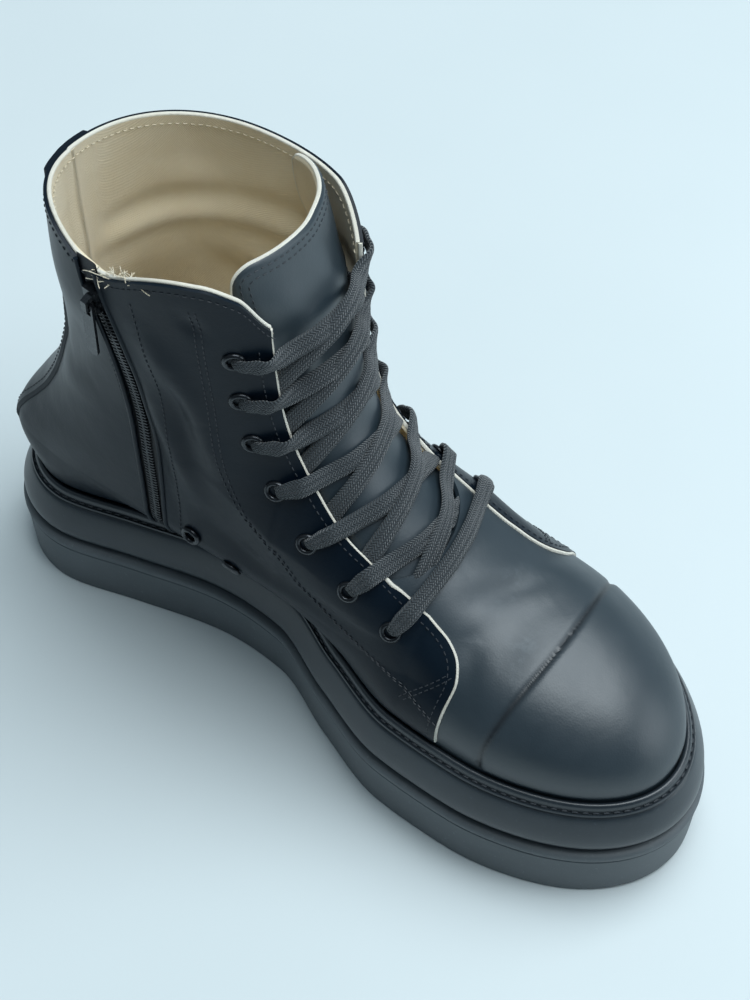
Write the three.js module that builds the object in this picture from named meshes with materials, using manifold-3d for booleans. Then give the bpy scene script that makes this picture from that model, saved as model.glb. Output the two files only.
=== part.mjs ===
// Platform ankle boot, left foot: lace-up leather upper with an inner-side zip on a thick stitched platform sole.
// Millimetres, +Z up, toe towards -Y, heel towards +Y, outer (little-toe) side towards +X.
import * as THREE from 'three';
import { mergeVertices } from 'three/addons/utils/BufferGeometryUtils.js';
import Module from 'manifold-3d';

// Driving sizes of the sole
const SOLE_LENGTH = 290;
const BALL_WIDTH = 108;
const OUTSOLE_HEIGHT = 28;
const MIDSOLE_HEIGHT = 18.6;
const LIP_HEIGHT = 2.6;
const LIP_WIDTH = 2;
const HEEL_ROUND = 36;
const TOE_ROUND = 72;
const TOE_SPRING = 1.5;
const TOE_SPRING_LENGTH = 34;
const TREAD_DEPTH = 3;
const TREAD_GROOVE = 4;
const TREAD_RIM = 8;
const ARCH_RELIEF = 2;

// Driving sizes of the welt and footbed
const WELT_REACH = 5.3;
const WELT_THICKNESS = 1.1;
const BEAD_HEIGHT = 4.5;
const FEATHER_INSET = 9.9;
const INSOLE_THICKNESS = 3.4;

// Driving sizes of the upper
const COLLAR_HEIGHT = 208;
const SHAFT_WIDTH = 86;
const WALL = 1.6;
const QUARTER_STEP = 1.2;
const TOE_CAP_STEP = 0.6;
const TOE_CAP_STATION = 0.777;
const THROAT_HALF = 25;
const TONGUE_THICKNESS = 2.6;
const TONGUE_TOP = 214;
const TONGUE_BEND = 160;
const TONGUE_LEAN = 13.5;
const TONGUE_OUTER_LEAN = 9;
const BACKSTAY_WIDTH = 22;
const BACKSTAY_THICKNESS = 1.2;

// Driving sizes of lacing and zip
const EYELET_PAIRS = 7;
const EYELET_RADIUS = 4;
const EYELET_SIDES = 8;
const EYELET_BORE = 2.1;
const EYELET_SET_BACK = 12;
const LACE_WIDTH = 8;
const LACE_THICKNESS = 1.4;
const ZIP_SLOT = 8;
const ZIP_CHAIN = 4.4;
const PULL_LENGTH = 25;
const PULL_WIDTH = 5;
const PULL_THICKNESS = 1;

const GAP = 0.3;

// Worked-out levels
const MIDSOLE_BOTTOM = OUTSOLE_HEIGHT + GAP;
const MIDSOLE_TOP = MIDSOLE_BOTTOM + MIDSOLE_HEIGHT;
const FEATHER = MIDSOLE_TOP + GAP;
const BEAD_TOP = FEATHER + BEAD_HEIGHT;
const SHAFT_RISE = COLLAR_HEIGHT - FEATHER;
const INNER_SIDE = -1;
const OUTER_SIDE = 1;

// Mesh fineness
const HALF_POINTS = 18;
const RING_POINTS = 2 * HALF_POINTS;

// The sole's plan: station and centre as shares, half width as a share of the ball width.
// Stations run from the heel end (0) to the toe end (1); the centre is positive towards the outer side.
const PLAN = [
  { station: 0.0, centre: -0.03, half: 0.312 },
  { station: 0.12, centre: -0.012, half: 0.312 },
  { station: 0.22, centre: 0.032, half: 0.301 },
  { station: 0.33, centre: 0.076, half: 0.291 },
  { station: 0.43, centre: 0.093, half: 0.325 },
  { station: 0.53, centre: 0.053, half: 0.415 },
  { station: 0.64, centre: 0.008, half: 0.488 },
  { station: 0.72, centre: -0.006, half: 0.497 },
  { station: 0.84, centre: -0.03, half: 0.482 },
  { station: 1.0, centre: -0.075, half: 0.465 },
];

// The top line of the foot and the shaft's front: height as a share of the rise from feather to collar.
const RIDGE = [
  { height: 0.0, station: 0.966, centre: -0.07 },
  { height: 0.03, station: 0.966, centre: -0.07 },
  { height: 0.068, station: 0.962, centre: -0.068 },
  { height: 0.105, station: 0.95, centre: -0.062 },
  { height: 0.148, station: 0.928, centre: -0.055 },
  { height: 0.185, station: 0.897, centre: -0.045 },
  { height: 0.211, station: 0.859, centre: -0.035 },
  { height: 0.234, station: 0.809, centre: -0.025 },
  { height: 0.25, station: 0.757, centre: -0.025 },
  { height: 0.273, station: 0.707, centre: -0.04 },
  { height: 0.304, station: 0.671, centre: -0.055 },
  { height: 0.342, station: 0.636, centre: -0.06 },
  { height: 0.391, station: 0.602, centre: -0.055 },
  { height: 0.441, station: 0.567, centre: -0.045 },
  { height: 0.503, station: 0.533, centre: -0.02 },
  { height: 0.566, station: 0.505, centre: 0.01 },
  { height: 0.64, station: 0.488, centre: 0.035 },
  { height: 0.733, station: 0.475, centre: 0.05 },
  { height: 0.857, station: 0.466, centre: 0.055 },
  { height: 1.1, station: 0.46, centre: 0.055 },
];

// The heel line and the shaft's sides: widths as shares of the shaft's width at the collar.
const SHAFT = [
  { height: 0.0, back: 0.034, centre: -0.03, outer: 0.37, inner: 0.31, round: 0.125 },
  { height: 0.03, back: 0.034, centre: -0.03, outer: 0.375, inner: 0.315, round: 0.125 },
  { height: 0.08, back: 0.03, centre: -0.03, outer: 0.39, inner: 0.335, round: 0.13 },
  { height: 0.143, back: 0.029, centre: -0.03, outer: 0.405, inner: 0.35, round: 0.135 },
  { height: 0.205, back: 0.036, centre: -0.025, outer: 0.42, inner: 0.365, round: 0.14 },
  { height: 0.267, back: 0.053, centre: -0.02, outer: 0.435, inner: 0.375, round: 0.145 },
  { height: 0.329, back: 0.072, centre: -0.015, outer: 0.45, inner: 0.38, round: 0.15 },
  { height: 0.404, back: 0.091, centre: -0.01, outer: 0.465, inner: 0.385, round: 0.155 },
  { height: 0.484, back: 0.106, centre: 0.0, outer: 0.485, inner: 0.39, round: 0.16 },
  { height: 0.577, back: 0.115, centre: 0.01, outer: 0.505, inner: 0.395, round: 0.165 },
  { height: 0.7, back: 0.115, centre: 0.02, outer: 0.53, inner: 0.405, round: 0.17 },
  { height: 0.857, back: 0.111, centre: 0.02, outer: 0.56, inner: 0.42, round: 0.172 },
  { height: 1.1, back: 0.112, centre: 0.02, outer: 0.585, inner: 0.43, round: 0.172 },
];

// The zip's line on the inner side, from the collar down.
const ZIP_LINE = [
  { station: 0.228, height: 1.06 },
  { station: 0.236, height: 0.96 },
  { station: 0.25, height: 0.87 },
  { station: 0.265, height: 0.76 },
  { station: 0.276, height: 0.63 },
  { station: 0.281, height: 0.5 },
  { station: 0.282, height: 0.35 },
  { station: 0.28, height: 0.2 },
  { station: 0.279, height: 0.125 },
];

const clamp = (value, low, high) => Math.min(high, Math.max(low, value));
const mix = (a, b, share) => a + (b - a) * share;
const ease = (share) => {
  const t = clamp(share, 0, 1);
  return t * t * (3 - 2 * t);
};

// Reads a column of a table at a key, with a smooth curve that never overshoots its rows.
function read(table, key, column, at) {
  const last = table.length - 1;
  const sign = table[last][key] > table[0][key] ? 1 : -1;
  const x = (i) => sign * table[i][key];
  const y = (i) => table[i][column];
  const where = clamp(sign * at, x(0), x(last));
  let i = 0;
  while (i < last - 1 && where > x(i + 1)) {
    i += 1;
  }
  const slope = (k) => (y(k + 1) - y(k)) / Math.max(x(k + 1) - x(k), 1e-9);
  const tangent = (k) => {
    if (k === 0) {
      return slope(0);
    }
    if (k === last) {
      return slope(last - 1);
    }
    const before = slope(k - 1);
    const after = slope(k);
    return before * after <= 0 ? 0 : (2 * before * after) / (before + after);
  };
  const width = Math.max(x(i + 1) - x(i), 1e-9);
  const t = (where - x(i)) / width;
  const rise = t * t * (3 - 2 * t);
  const start = t * (1 - t) * (1 - t) * width * tangent(i);
  const end = t * t * (t - 1) * width * tangent(i + 1);
  return mix(y(i), y(i + 1), rise) + start + end;
}

// A station in millimetres from the heel end becomes a Y place.
const placeY = (along) => SOLE_LENGTH / 2 - along;

// Sole plan
function roundedEnd(distance, radius) {
  if (distance >= radius) {
    return 1;
  }
  const inward = clamp((radius - distance) / radius, 0, 1);
  return Math.sqrt(1 - inward * inward);
}

// Half width and centre of the platform's widest edge at a distance from the heel end.
function planAt(along) {
  const share = along / SOLE_LENGTH;
  const ends = roundedEnd(along, HEEL_ROUND) * roundedEnd(SOLE_LENGTH - along, TOE_ROUND);
  return {
    half: read(PLAN, 'station', 'half', share) * BALL_WIDTH * ends,
    centre: read(PLAN, 'station', 'centre', share) * BALL_WIDTH,
  };
}

// Points around the plan: heel end first, up the outer side to the toe, back down the inner side.
function planOutline() {
  const points = [];
  for (let i = 0; i < RING_POINTS; i += 1) {
    const side = i <= HALF_POINTS ? OUTER_SIDE : INNER_SIDE;
    const step = i <= HALF_POINTS ? i : RING_POINTS - i;
    const along = (SOLE_LENGTH * (1 - Math.cos((Math.PI * step) / HALF_POINTS))) / 2;
    const { half, centre } = planAt(along);
    points.push([centre + side * half, placeY(along)]);
  }
  return points;
}

const PLAN_POINTS = planOutline();

// Outward directions of the plan at each of its points.
const PLAN_NORMALS = PLAN_POINTS.map((point, i) => {
  const before = PLAN_POINTS[(i + RING_POINTS - 1) % RING_POINTS];
  const after = PLAN_POINTS[(i + 1) % RING_POINTS];
  const run = [after[0] - before[0], after[1] - before[1]];
  const length = Math.hypot(run[0], run[1]);
  return [-run[1] / length, run[0] / length];
});

const insetPoint = (i, inset) => [
  PLAN_POINTS[i][0] - PLAN_NORMALS[i][0] * inset,
  PLAN_POINTS[i][1] - PLAN_NORMALS[i][1] * inset,
];

const insetRing = (inset, height) => PLAN_POINTS.map((_, i) => {
  const [x, y] = insetPoint(i, inset);
  return [x, y, typeof height === 'function' ? height(x, y) : height];
});

// Mesh building
function geometryOf(points, faces) {
  const geometry = new THREE.BufferGeometry();
  geometry.setAttribute('position', new THREE.Float32BufferAttribute(points.flat(), 3));
  geometry.setIndex(faces.flat());
  return geometry;
}

// Joins rings of equal count, lowest first and clockwise from above, into a closed body.
function loft(rings) {
  const count = rings[0].length;
  const half = count / 2;
  const points = rings.flat();
  const faces = [];
  for (let k = 0; k < rings.length - 1; k += 1) {
    for (let i = 0; i < count; i += 1) {
      const a = k * count + i;
      const b = k * count + ((i + 1) % count);
      faces.push([a, b + count, b], [a, a + count, b + count]);
    }
  }
  const top = (rings.length - 1) * count;
  for (let i = 0; i < half; i += 1) {
    const right = [i, i + 1];
    const left = [(count - i) % count, count - i - 1];
    if (i > 0) {
      faces.push([right[0], right[1], left[0]]);
      faces.push([top + right[0], top + left[0], top + right[1]]);
    }
    if (i < half - 1) {
      faces.push([left[0], right[1], left[1]]);
      faces.push([top + left[0], top + left[1], top + right[1]]);
    }
  }
  return geometryOf(points, faces);
}

// Carries a closed profile of inset and height once round the plan.
function planBand(profile) {
  const rows = profile.length;
  const points = [];
  const faces = [];
  for (let i = 0; i < RING_POINTS; i += 1) {
    profile.forEach(([inset, height]) => points.push([...insetPoint(i, inset), height]));
  }
  for (let i = 0; i < RING_POINTS; i += 1) {
    for (let k = 0; k < rows; k += 1) {
      const a = i * rows + k;
      const b = i * rows + ((k + 1) % rows);
      const c = ((i + 1) % RING_POINTS) * rows + k;
      const d = ((i + 1) % RING_POINTS) * rows + ((k + 1) % rows);
      faces.push([a, c, d], [a, d, b]);
    }
  }
  return geometryOf(points, faces);
}

// Solids
const wasm = await Module();
wasm.setup();

function solid(geometry) {
  const bare = geometry.clone();
  bare.deleteAttribute('normal');
  bare.deleteAttribute('uv');
  const merged = mergeVertices(bare, 1e-4);
  return new wasm.Manifold(new wasm.Mesh({
    numProp: 3,
    vertProperties: new Float32Array(merged.attributes.position.array),
    triVerts: new Uint32Array(merged.index.array),
  }));
}

function geometryFrom(body) {
  const mesh = body.getMesh();
  const points = [];
  for (let i = 0; i < mesh.vertProperties.length; i += mesh.numProp) {
    points.push([mesh.vertProperties[i], mesh.vertProperties[i + 1], mesh.vertProperties[i + 2]]);
  }
  const geometry = new THREE.BufferGeometry();
  geometry.setAttribute('position', new THREE.Float32BufferAttribute(points.flat(), 3));
  geometry.setIndex(Array.from(mesh.triVerts));
  return geometry;
}

// A prism from an outline in two of the three axes, running between two values of the third.
function prism(outline, axis, from, to) {
  const shape = new THREE.Shape(outline.map(([a, b]) => new THREE.Vector2(a, b)));
  const geometry = new THREE.ExtrudeGeometry(shape, { depth: to - from, bevelEnabled: false });
  geometry.translate(0, 0, from);
  const turn = new THREE.Matrix4();
  if (axis === 'x') {
    turn.set(0, 0, 1, 0, 1, 0, 0, 0, 0, 1, 0, 0, 0, 0, 0, 1);
  }
  if (axis === 'y') {
    turn.set(-1, 0, 0, 0, 0, 0, 1, 0, 0, 1, 0, 0, 0, 0, 0, 1);
  }
  geometry.applyMatrix4(turn);
  return solid(geometry);
}

function box(low, high) {
  const geometry = new THREE.BoxGeometry(high[0] - low[0], high[1] - low[1], high[2] - low[2]);
  geometry.translate((low[0] + high[0]) / 2, (low[1] + high[1]) / 2, (low[2] + high[2]) / 2);
  return solid(geometry);
}

// Upper surface
const riseAt = (height) => (height - FEATHER) / SHAFT_RISE;
const levelAt = (rise) => FEATHER + rise * SHAFT_RISE;

// The side of the foot at its feather line, by distance from the heel end.
const FEATHER_POINTS = PLAN_POINTS.map((_, i) => insetPoint(i, FEATHER_INSET));

function featherX(side, along) {
  const y = placeY(along);
  for (let step = 0; step < HALF_POINTS; step += 1) {
    const i = side === OUTER_SIDE ? step : (RING_POINTS - step) % RING_POINTS;
    const j = side === OUTER_SIDE ? step + 1 : RING_POINTS - step - 1;
    const a = FEATHER_POINTS[i];
    const b = FEATHER_POINTS[j];
    if (y <= a[1] && y >= b[1]) {
      return mix(a[0], b[0], (a[1] - y) / Math.max(a[1] - b[1], 1e-9));
    }
  }
  return y > 0 ? FEATHER_POINTS[0][0] : FEATHER_POINTS[HALF_POINTS][0];
}

const FEATHER_BACK = SOLE_LENGTH / 2 - FEATHER_POINTS[0][1];
const FEATHER_FRONT = SOLE_LENGTH / 2 - FEATHER_POINTS[HALF_POINTS][1];
const BULGE = 1.4;
const OVAL = 2.15;

const oval = (share) => (1 - clamp(share, 0, 1) ** OVAL) ** (1 / OVAL);
// Up to the welt's bead the wall stands upright on the feather line.
const UPRIGHT_RISE = riseAt(BEAD_TOP + GAP);
const frontAt = (rise) => (rise <= UPRIGHT_RISE ? FEATHER_FRONT : Math.min(
  FEATHER_FRONT,
  read(RIDGE, 'height', 'station', rise) * SOLE_LENGTH,
));
const backAt = (rise) => (
  rise <= UPRIGHT_RISE ? FEATHER_BACK : read(SHAFT, 'height', 'back', rise) * SOLE_LENGTH
);

// The foot's inner side fills out over the sole's waist: half width as a share of the ball width.
const ARCH_FILL = [
  { station: 0.1, half: 0.25 },
  { station: 0.22, half: 0.285 },
  { station: 0.35, half: 0.325 },
  { station: 0.45, half: 0.355 },
  { station: 0.55, half: 0.385 },
  { station: 0.64, half: 0.405 },
  { station: 0.7, half: 0.3 },
];

function filledX(side, along, clear) {
  const foot = featherX(side, along);
  if (side === OUTER_SIDE || along > 0.7 * SOLE_LENGTH) {
    return foot;
  }
  const full = -read(ARCH_FILL, 'station', 'half', along / SOLE_LENGTH) * BALL_WIDTH;
  return mix(foot, Math.min(foot, full), ease(clear / 0.17));
}

// Half profile of the upper's outer face: the X place at a distance from the heel end, a rise and a side.
function upperX(side, along, rise) {
  const front = frontAt(rise);
  const back = backAt(rise);
  const share = clamp((along - back) / (front - back), 0, 1);
  const footSide = featherX(side, mix(FEATHER_BACK, FEATHER_FRONT, share));
  if (rise <= UPRIGHT_RISE) {
    return footSide;
  }
  const clear = rise - UPRIGHT_RISE;
  const footHere = filledX(side, clamp(along, FEATHER_BACK, FEATHER_FRONT), rise - UPRIGHT_RISE);
  const centreFront = read(RIDGE, 'height', 'centre', rise) * BALL_WIDTH;
  const centreBack = read(SHAFT, 'height', 'centre', rise) * SHAFT_WIDTH;
  const middle = mix(centreBack, centreFront, ease(share));
  // Foot: a dome under the ridge over the feather line
  const ridgeHere = read(RIDGE, 'station', 'height', along / SOLE_LENGTH);
  const dome = oval(clear / Math.max(ridgeHere - UPRIGHT_RISE, 1e-6));
  const swell = BULGE * Math.sin(Math.PI * clamp(clear / 0.14, 0, 1));
  const foot = middle + (footHere + side * swell - middle) * dome;
  // Shaft: an oval between the heel line and the front line
  const name = side === OUTER_SIDE ? 'outer' : 'inner';
  const reach = side * read(SHAFT, 'height', name, rise) * SHAFT_WIDTH;
  const round = read(SHAFT, 'height', 'round', rise) * SOLE_LENGTH;
  const behind = oval((back + round - along) / round);
  const ahead = oval((along - back - round) / Math.max(front - back - round, 1));
  const shaft = middle + (reach - middle) * (along < back + round ? behind : ahead);
  // The foot gives way to the shaft upwards and backwards
  const up = ease(clear / 0.3);
  const rear = 1 - ease((share - 0.42) / 0.4);
  const high = ease((rise - 0.3) / 0.25);
  const weight = clamp(Math.max(up * rear, high), 0, 1);
  return mix(foot, shaft, weight);
}

// The collar's top line: lower outside, a dip at the zip, higher ahead of it, rounded at the throat.
function collarRise(x, y) {
  const along = SOLE_LENGTH / 2 - y;
  const lean = -0.17 * x;
  const inner = ease(-x / 20);
  const zipDip = -7 * Math.exp(-(((along - 0.24 * SOLE_LENGTH) / 17) ** 2)) * inner;
  const quarterRise = 5 * ease((along - 0.26 * SOLE_LENGTH) / 30) * inner;
  const corner = 13 * ease((along - 0.375 * SOLE_LENGTH) / 24);
  return COLLAR_HEIGHT + lean + zipDip + quarterRise - corner;
}

// Rises of the rings, closer together over the low toe.
const RING_RISES = [
  0, UPRIGHT_RISE, 0.055, 0.085, 0.12, 0.16, 0.195, 0.222, 0.245, 0.27, 0.31, 0.36, 0.42, 0.5, 0.61, 0.78, 1,
];

const FEATHER_SHARES = FEATHER_POINTS.map(([, y]) => {
  const along = SOLE_LENGTH / 2 - y;
  return (along - FEATHER_BACK) / (FEATHER_FRONT - FEATHER_BACK);
});

function upperPoint(i, rise) {
  const side = i <= HALF_POINTS ? OUTER_SIDE : INNER_SIDE;
  const along = mix(backAt(rise), frontAt(rise), FEATHER_SHARES[i]);
  return new THREE.Vector3(upperX(side, along, rise), placeY(along), levelAt(rise));
}

// The outward direction of the upper's face at a ring point.
function upperNormal(i, rise) {
  const low = Math.max(rise - 0.012, 0);
  const high = Math.max(rise, 0) + 0.012;
  const up = upperPoint(i, high).sub(upperPoint(i, low));
  const round = upperPoint((i + 1) % RING_POINTS, rise).sub(upperPoint((i + RING_POINTS - 1) % RING_POINTS, rise));
  const normal = up.cross(round).normalize();
  if (rise <= RING_RISES[1]) {
    normal.z = 0;
    normal.normalize();
  }
  return normal;
}

// The upper's form, grown or shrunk from its outer face. Growth starts above the welt's bead.
function upperForm(offset, { reach = 0, top = collarRise } = {}) {
  const rings = RING_RISES.map((rise) => FEATHER_POINTS.map((_, i) => {
    const rim = upperPoint(i, 1);
    const extra = riseAt(top(rim.x, rim.y)) - 1;
    const here = rise + extra * ease((rise - 0.6) / 0.4);
    const point = upperPoint(i, here);
    const grown = offset > 0 ? offset * ease((point.z - BEAD_TOP - GAP) / 2.5) : offset;
    return point.addScaledVector(upperNormal(i, here), grown).toArray();
  }));
  if (reach > 0) {
    rings.unshift(rings[0].map(([x, y, z]) => [x, y, z - reach]));
    rings.push(rings[rings.length - 1].map(([x, y, z]) => [x, y, z + reach]));
  }
  return solid(loft(rings));
}

// How far the inner forms run past the openings, so that they cut them clean.
const OPEN_REACH = 12;

// Outlines that cut the upper
const stationY = (share) => placeY(share * SOLE_LENGTH);

// The plan of the gap between the quarters, with the vamp's edge at its front.
const THROAT_MIDDLE = [
  { station: 0.3, centre: 0.055 },
  { station: 0.45, centre: 0.05 },
  { station: 0.56, centre: 0.0 },
  { station: 0.7, centre: 0.005 },
];
const throatMiddle = (station) => read(THROAT_MIDDLE, 'station', 'centre', station) * BALL_WIDTH;

// The quarters' outline from above: straight throat edges that swing out into rounded front ends.
const QUARTER_FRONT = [
  { station: 0.655, spread: 1.0 },
  { station: 0.685, spread: 1.05 },
  { station: 0.706, spread: 1.18 },
  { station: 0.716, spread: 1.4 },
  { station: 0.712, spread: 1.75 },
  { station: 0.704, spread: 2.6 },
];
const THROAT_STATIONS = [0.3, 0.4, 0.45, 0.5, 0.55, 0.6];
const VAMP_EDGE = 0.63;

function quarterZone() {
  const rim = (side) => [
    ...THROAT_STATIONS.map((station) => [throatMiddle(station) + side * THROAT_HALF, stationY(station)]),
    ...QUARTER_FRONT.map(({ station, spread }) => [
      throatMiddle(station) + side * THROAT_HALF * spread,
      stationY(station + (side === OUTER_SIDE ? 0.012 : 0)),
    ]),
  ];
  const outer = rim(OUTER_SIDE);
  const inner = rim(INNER_SIDE).reverse();
  const far = stationY(-0.1);
  const wide = BALL_WIDTH;
  const outline = [
    [wide, far], [-wide, far], [-wide, inner[0][1]], ...inner, ...outer, [wide, outer[outer.length - 1][1]],
  ];
  return prism(outline, 'z', FEATHER - 5, COLLAR_HEIGHT + 40);
}

function throatZone(half, front) {
  const stations = [...THROAT_STATIONS, front];
  const edge = (side) => stations.map((station) => [throatMiddle(station) + side * half, stationY(station)]);
  const outline = [...edge(OUTER_SIDE), ...edge(INNER_SIDE).reverse()];
  return prism(outline, 'z', levelAt(0.1), COLLAR_HEIGHT + 40);
}

// A strip of even width about the zip's line, seen from the side.
function zipStrip(width, bottomTrim) {
  const line = ZIP_LINE.map(({ station, height }) => new THREE.Vector2(stationY(station), levelAt(height)));
  line[line.length - 1].y += bottomTrim;
  const left = [];
  const right = [];
  line.forEach((point, i) => {
    const before = line[Math.max(i - 1, 0)];
    const after = line[Math.min(i + 1, line.length - 1)];
    const run = after.clone().sub(before).normalize();
    left.push([point.x - (run.y * width) / 2, point.y + (run.x * width) / 2]);
    right.push([point.x + (run.y * width) / 2, point.y - (run.x * width) / 2]);
  });
  return prism([...left, ...right.reverse()], 'x', -BALL_WIDTH, -ZIP_SLOT / 2);
}

// A point on the upper's grown face and its outward direction, by side, distance from the heel end and rise.
function onUpper(side, along, rise, lift) {
  const at = (a, r) => new THREE.Vector3(upperX(side, a, r), placeY(a), levelAt(r));
  const point = at(along, rise);
  const run = at(along + 1, rise).sub(at(along - 1, rise));
  const up = at(along, rise + 0.01).sub(at(along, rise - 0.01));
  const normal = run.cross(up).normalize();
  if (normal.x * side < 0) {
    normal.negate();
  }
  return { point: point.addScaledVector(normal, lift), normal, along, rise };
}

function insideUpper(point) {
  const rise = riseAt(point.z);
  const along = SOLE_LENGTH / 2 - point.y;
  if (along > frontAt(rise) || along < backAt(rise)) {
    return false;
  }
  return point.x < upperX(OUTER_SIDE, along, rise) && point.x > upperX(INNER_SIDE, along, rise);
}

// The place where a line from inside the upper meets its outer face.
function skin(start, direction, reach = 30) {
  let near = 0;
  let far = reach;
  for (let pass = 0; pass < 24; pass += 1) {
    const middle = (near + far) / 2;
    if (insideUpper(start.clone().addScaledVector(direction, middle))) {
      near = middle;
    } else {
      far = middle;
    }
  }
  return start.clone().addScaledVector(direction, near);
}

// The throat's edge on one side at a rise: from the front line back to where the face is a half gap wide.
function throatEdge(side, rise) {
  const spread = (along) => side * (upperX(side, along, rise) - throatMiddle(along / SOLE_LENGTH));
  let far = frontAt(rise);
  while (spread(far - 1) < THROAT_HALF) {
    far -= 1;
  }
  let near = far - 1;
  for (let pass = 0; pass < 12; pass += 1) {
    const along = (near + far) / 2;
    if (spread(along) > THROAT_HALF) {
      near = along;
    } else {
      far = along;
    }
  }
  return onUpper(side, near, rise, 0);
}

// Places spaced evenly along a throat edge, top one first.
const LACED_TOP = 0.865;
const LACED_BOTTOM = 0.305;
const EDGE_STEPS = 60;

function spacedEdge(side) {
  const walk = [];
  let length = 0;
  for (let i = 0; i <= EDGE_STEPS; i += 1) {
    const place = throatEdge(side, mix(LACED_TOP, LACED_BOTTOM, i / EDGE_STEPS));
    length += i === 0 ? 0 : place.point.distanceTo(walk[i - 1].point);
    walk.push({ ...place, length });
  }
  const places = [];
  for (let k = 0; k < EYELET_PAIRS; k += 1) {
    const wanted = (length * k) / (EYELET_PAIRS - 1);
    const i = Math.max(1, walk.findIndex((row) => row.length >= wanted - 1e-6));
    const share = (wanted - walk[i - 1].length) / (walk[i].length - walk[i - 1].length);
    places.push(throatEdge(side, mix(walk[i - 1].rise, walk[i].rise, share)));
  }
  return places;
}

const EDGES = { [OUTER_SIDE]: spacedEdge(OUTER_SIDE), [INNER_SIDE]: spacedEdge(INNER_SIDE) };

// An eyelet sits back from the throat's edge, square to it, on the quarter's face.
function eyeletPlace(side, index) {
  const edges = EDGES[side];
  const edge = edges[index];
  const before = edges[Math.max(index - 1, 0)].point;
  const after = edges[Math.min(index + 1, EYELET_PAIRS - 1)].point;
  const run = after.clone().sub(before).normalize();
  const back = new THREE.Vector3().crossVectors(run, edge.normal).multiplyScalar(side).normalize();
  if (back.x * side < 0) {
    back.negate();
  }
  const start = edge.point.clone().addScaledVector(back, EYELET_SET_BACK).addScaledVector(edge.normal, -15);
  const found = skin(start, edge.normal);
  const place = onUpper(side, SOLE_LENGTH / 2 - found.y, riseAt(found.z), QUARTER_STEP);
  return place;
}

const VENTS = [
  { station: 0.335, height: 0.2 },
  { station: 0.392, height: 0.155 },
];

const colours = {
  leather: new THREE.MeshStandardMaterial({ color: 0x1b2430, roughness: 0.42, metalness: 0 }),
  rubber: new THREE.MeshStandardMaterial({ color: 0x3d444a, roughness: 0.8, metalness: 0 }),
  band: new THREE.MeshStandardMaterial({ color: 0x2b333b, roughness: 0.45, metalness: 0 }),
  welt: new THREE.MeshStandardMaterial({ color: 0x262d35, roughness: 0.5, metalness: 0 }),
  canvas: new THREE.MeshStandardMaterial({ color: 0xcabf9f, roughness: 0.95, metalness: 0 }),
  cord: new THREE.MeshStandardMaterial({ color: 0x2c3035, roughness: 0.9, metalness: 0 }),
  metal: new THREE.MeshStandardMaterial({ color: 0x14171a, roughness: 0.35, metalness: 0.9 }),
};

// The plan's middle, so that the boot stands centred on the origin.
const PLAN_ACROSS = PLAN_POINTS.map(([x]) => x);
const PLAN_MIDDLE = (Math.min(...PLAN_ACROSS) + Math.max(...PLAN_ACROSS)) / 2;

const group = new THREE.Group();
group.position.x = -PLAN_MIDDLE;
const place = (name, geometry, material) => {
  const mesh = new THREE.Mesh(geometry, material);
  mesh.name = name;
  group.add(mesh);
  return mesh;
};

// Outsole
function outsole() {
  const wallFoot = OUTSOLE_HEIGHT - LIP_HEIGHT - 1;
  const spring = (x, y) => TOE_SPRING * ease((stationY(1) + TOE_SPRING_LENGTH - y) / TOE_SPRING_LENGTH);
  const rings = [
    insetRing(2.8, spring),
    insetRing(1.8, (x, y) => spring(x, y) + 1),
    insetRing(0.3, wallFoot),
    insetRing(0, OUTSOLE_HEIGHT - LIP_HEIGHT),
    insetRing(LIP_WIDTH, OUTSOLE_HEIGHT),
  ];
  const body = solid(loft(rings));
  const inside = solid(loft([insetRing(TREAD_RIM, -1), insetRing(TREAD_RIM, TREAD_DEPTH)]));
  const half = BALL_WIDTH;
  const grooves = [];
  const rows = [
    { from: 0.07, to: 0.25, count: 4 },
    { from: 0.5, to: 0.93, count: 8 },
  ];
  rows.forEach(({ from, to, count }) => {
    for (let i = 0; i < count; i += 1) {
      const y = stationY(mix(from, to, i / (count - 1)));
      grooves.push(box([-half, y - TREAD_GROOVE / 2, -1], [half, y + TREAD_GROOVE / 2, TREAD_DEPTH]));
    }
  });
  const arch = box([-half, stationY(0.45), -1], [half, stationY(0.3), ARCH_RELIEF]);
  const cut = grooves.reduce((sum, groove) => sum.add(groove), arch).intersect(inside);
  return geometryFrom(body.subtract(cut));
}

// Midsole: a band that bulges over the dark groove and leans in to the welt
const MIDSOLE_FORM = [
  { inset: 3.4, up: 0 },
  { inset: 3.2, up: 1.6 },
  { inset: 1.7, up: 2.6 },
  { inset: 1.1, up: 5 },
  { inset: 1.4, up: 8.5 },
  { inset: 2.6, up: 12.5 },
  { inset: 4.4, up: 16.6 },
  { inset: 6.4, up: MIDSOLE_HEIGHT },
];

function midsole() {
  return loft(MIDSOLE_FORM.map(({ inset, up }) => insetRing(inset, MIDSOLE_BOTTOM + up)));
}

// Storm welt: a stitch groove outside, a rolled bead against the upper
function stormWelt() {
  const base = FEATHER;
  const top = base + WELT_THICKNESS;
  const inner = FEATHER_INSET - GAP;
  return planBand([
    [WELT_REACH + 0.4, base],
    [inner, base],
    [inner, BEAD_TOP - 1],
    [inner - 0.8, BEAD_TOP],
    [inner - 1.9, BEAD_TOP - 0.3],
    [inner - 2.6, BEAD_TOP - 1.6],
    [inner - 2.7, top],
    [WELT_REACH + 1, top - 0.5],
    [WELT_REACH + 0.5, top],
    [WELT_REACH, top - 0.3],
  ]);
}

function insole() {
  const inset = FEATHER_INSET + WALL + GAP;
  return loft([insetRing(inset, FEATHER), insetRing(inset, FEATHER + INSOLE_THICKNESS)]);
}

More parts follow.
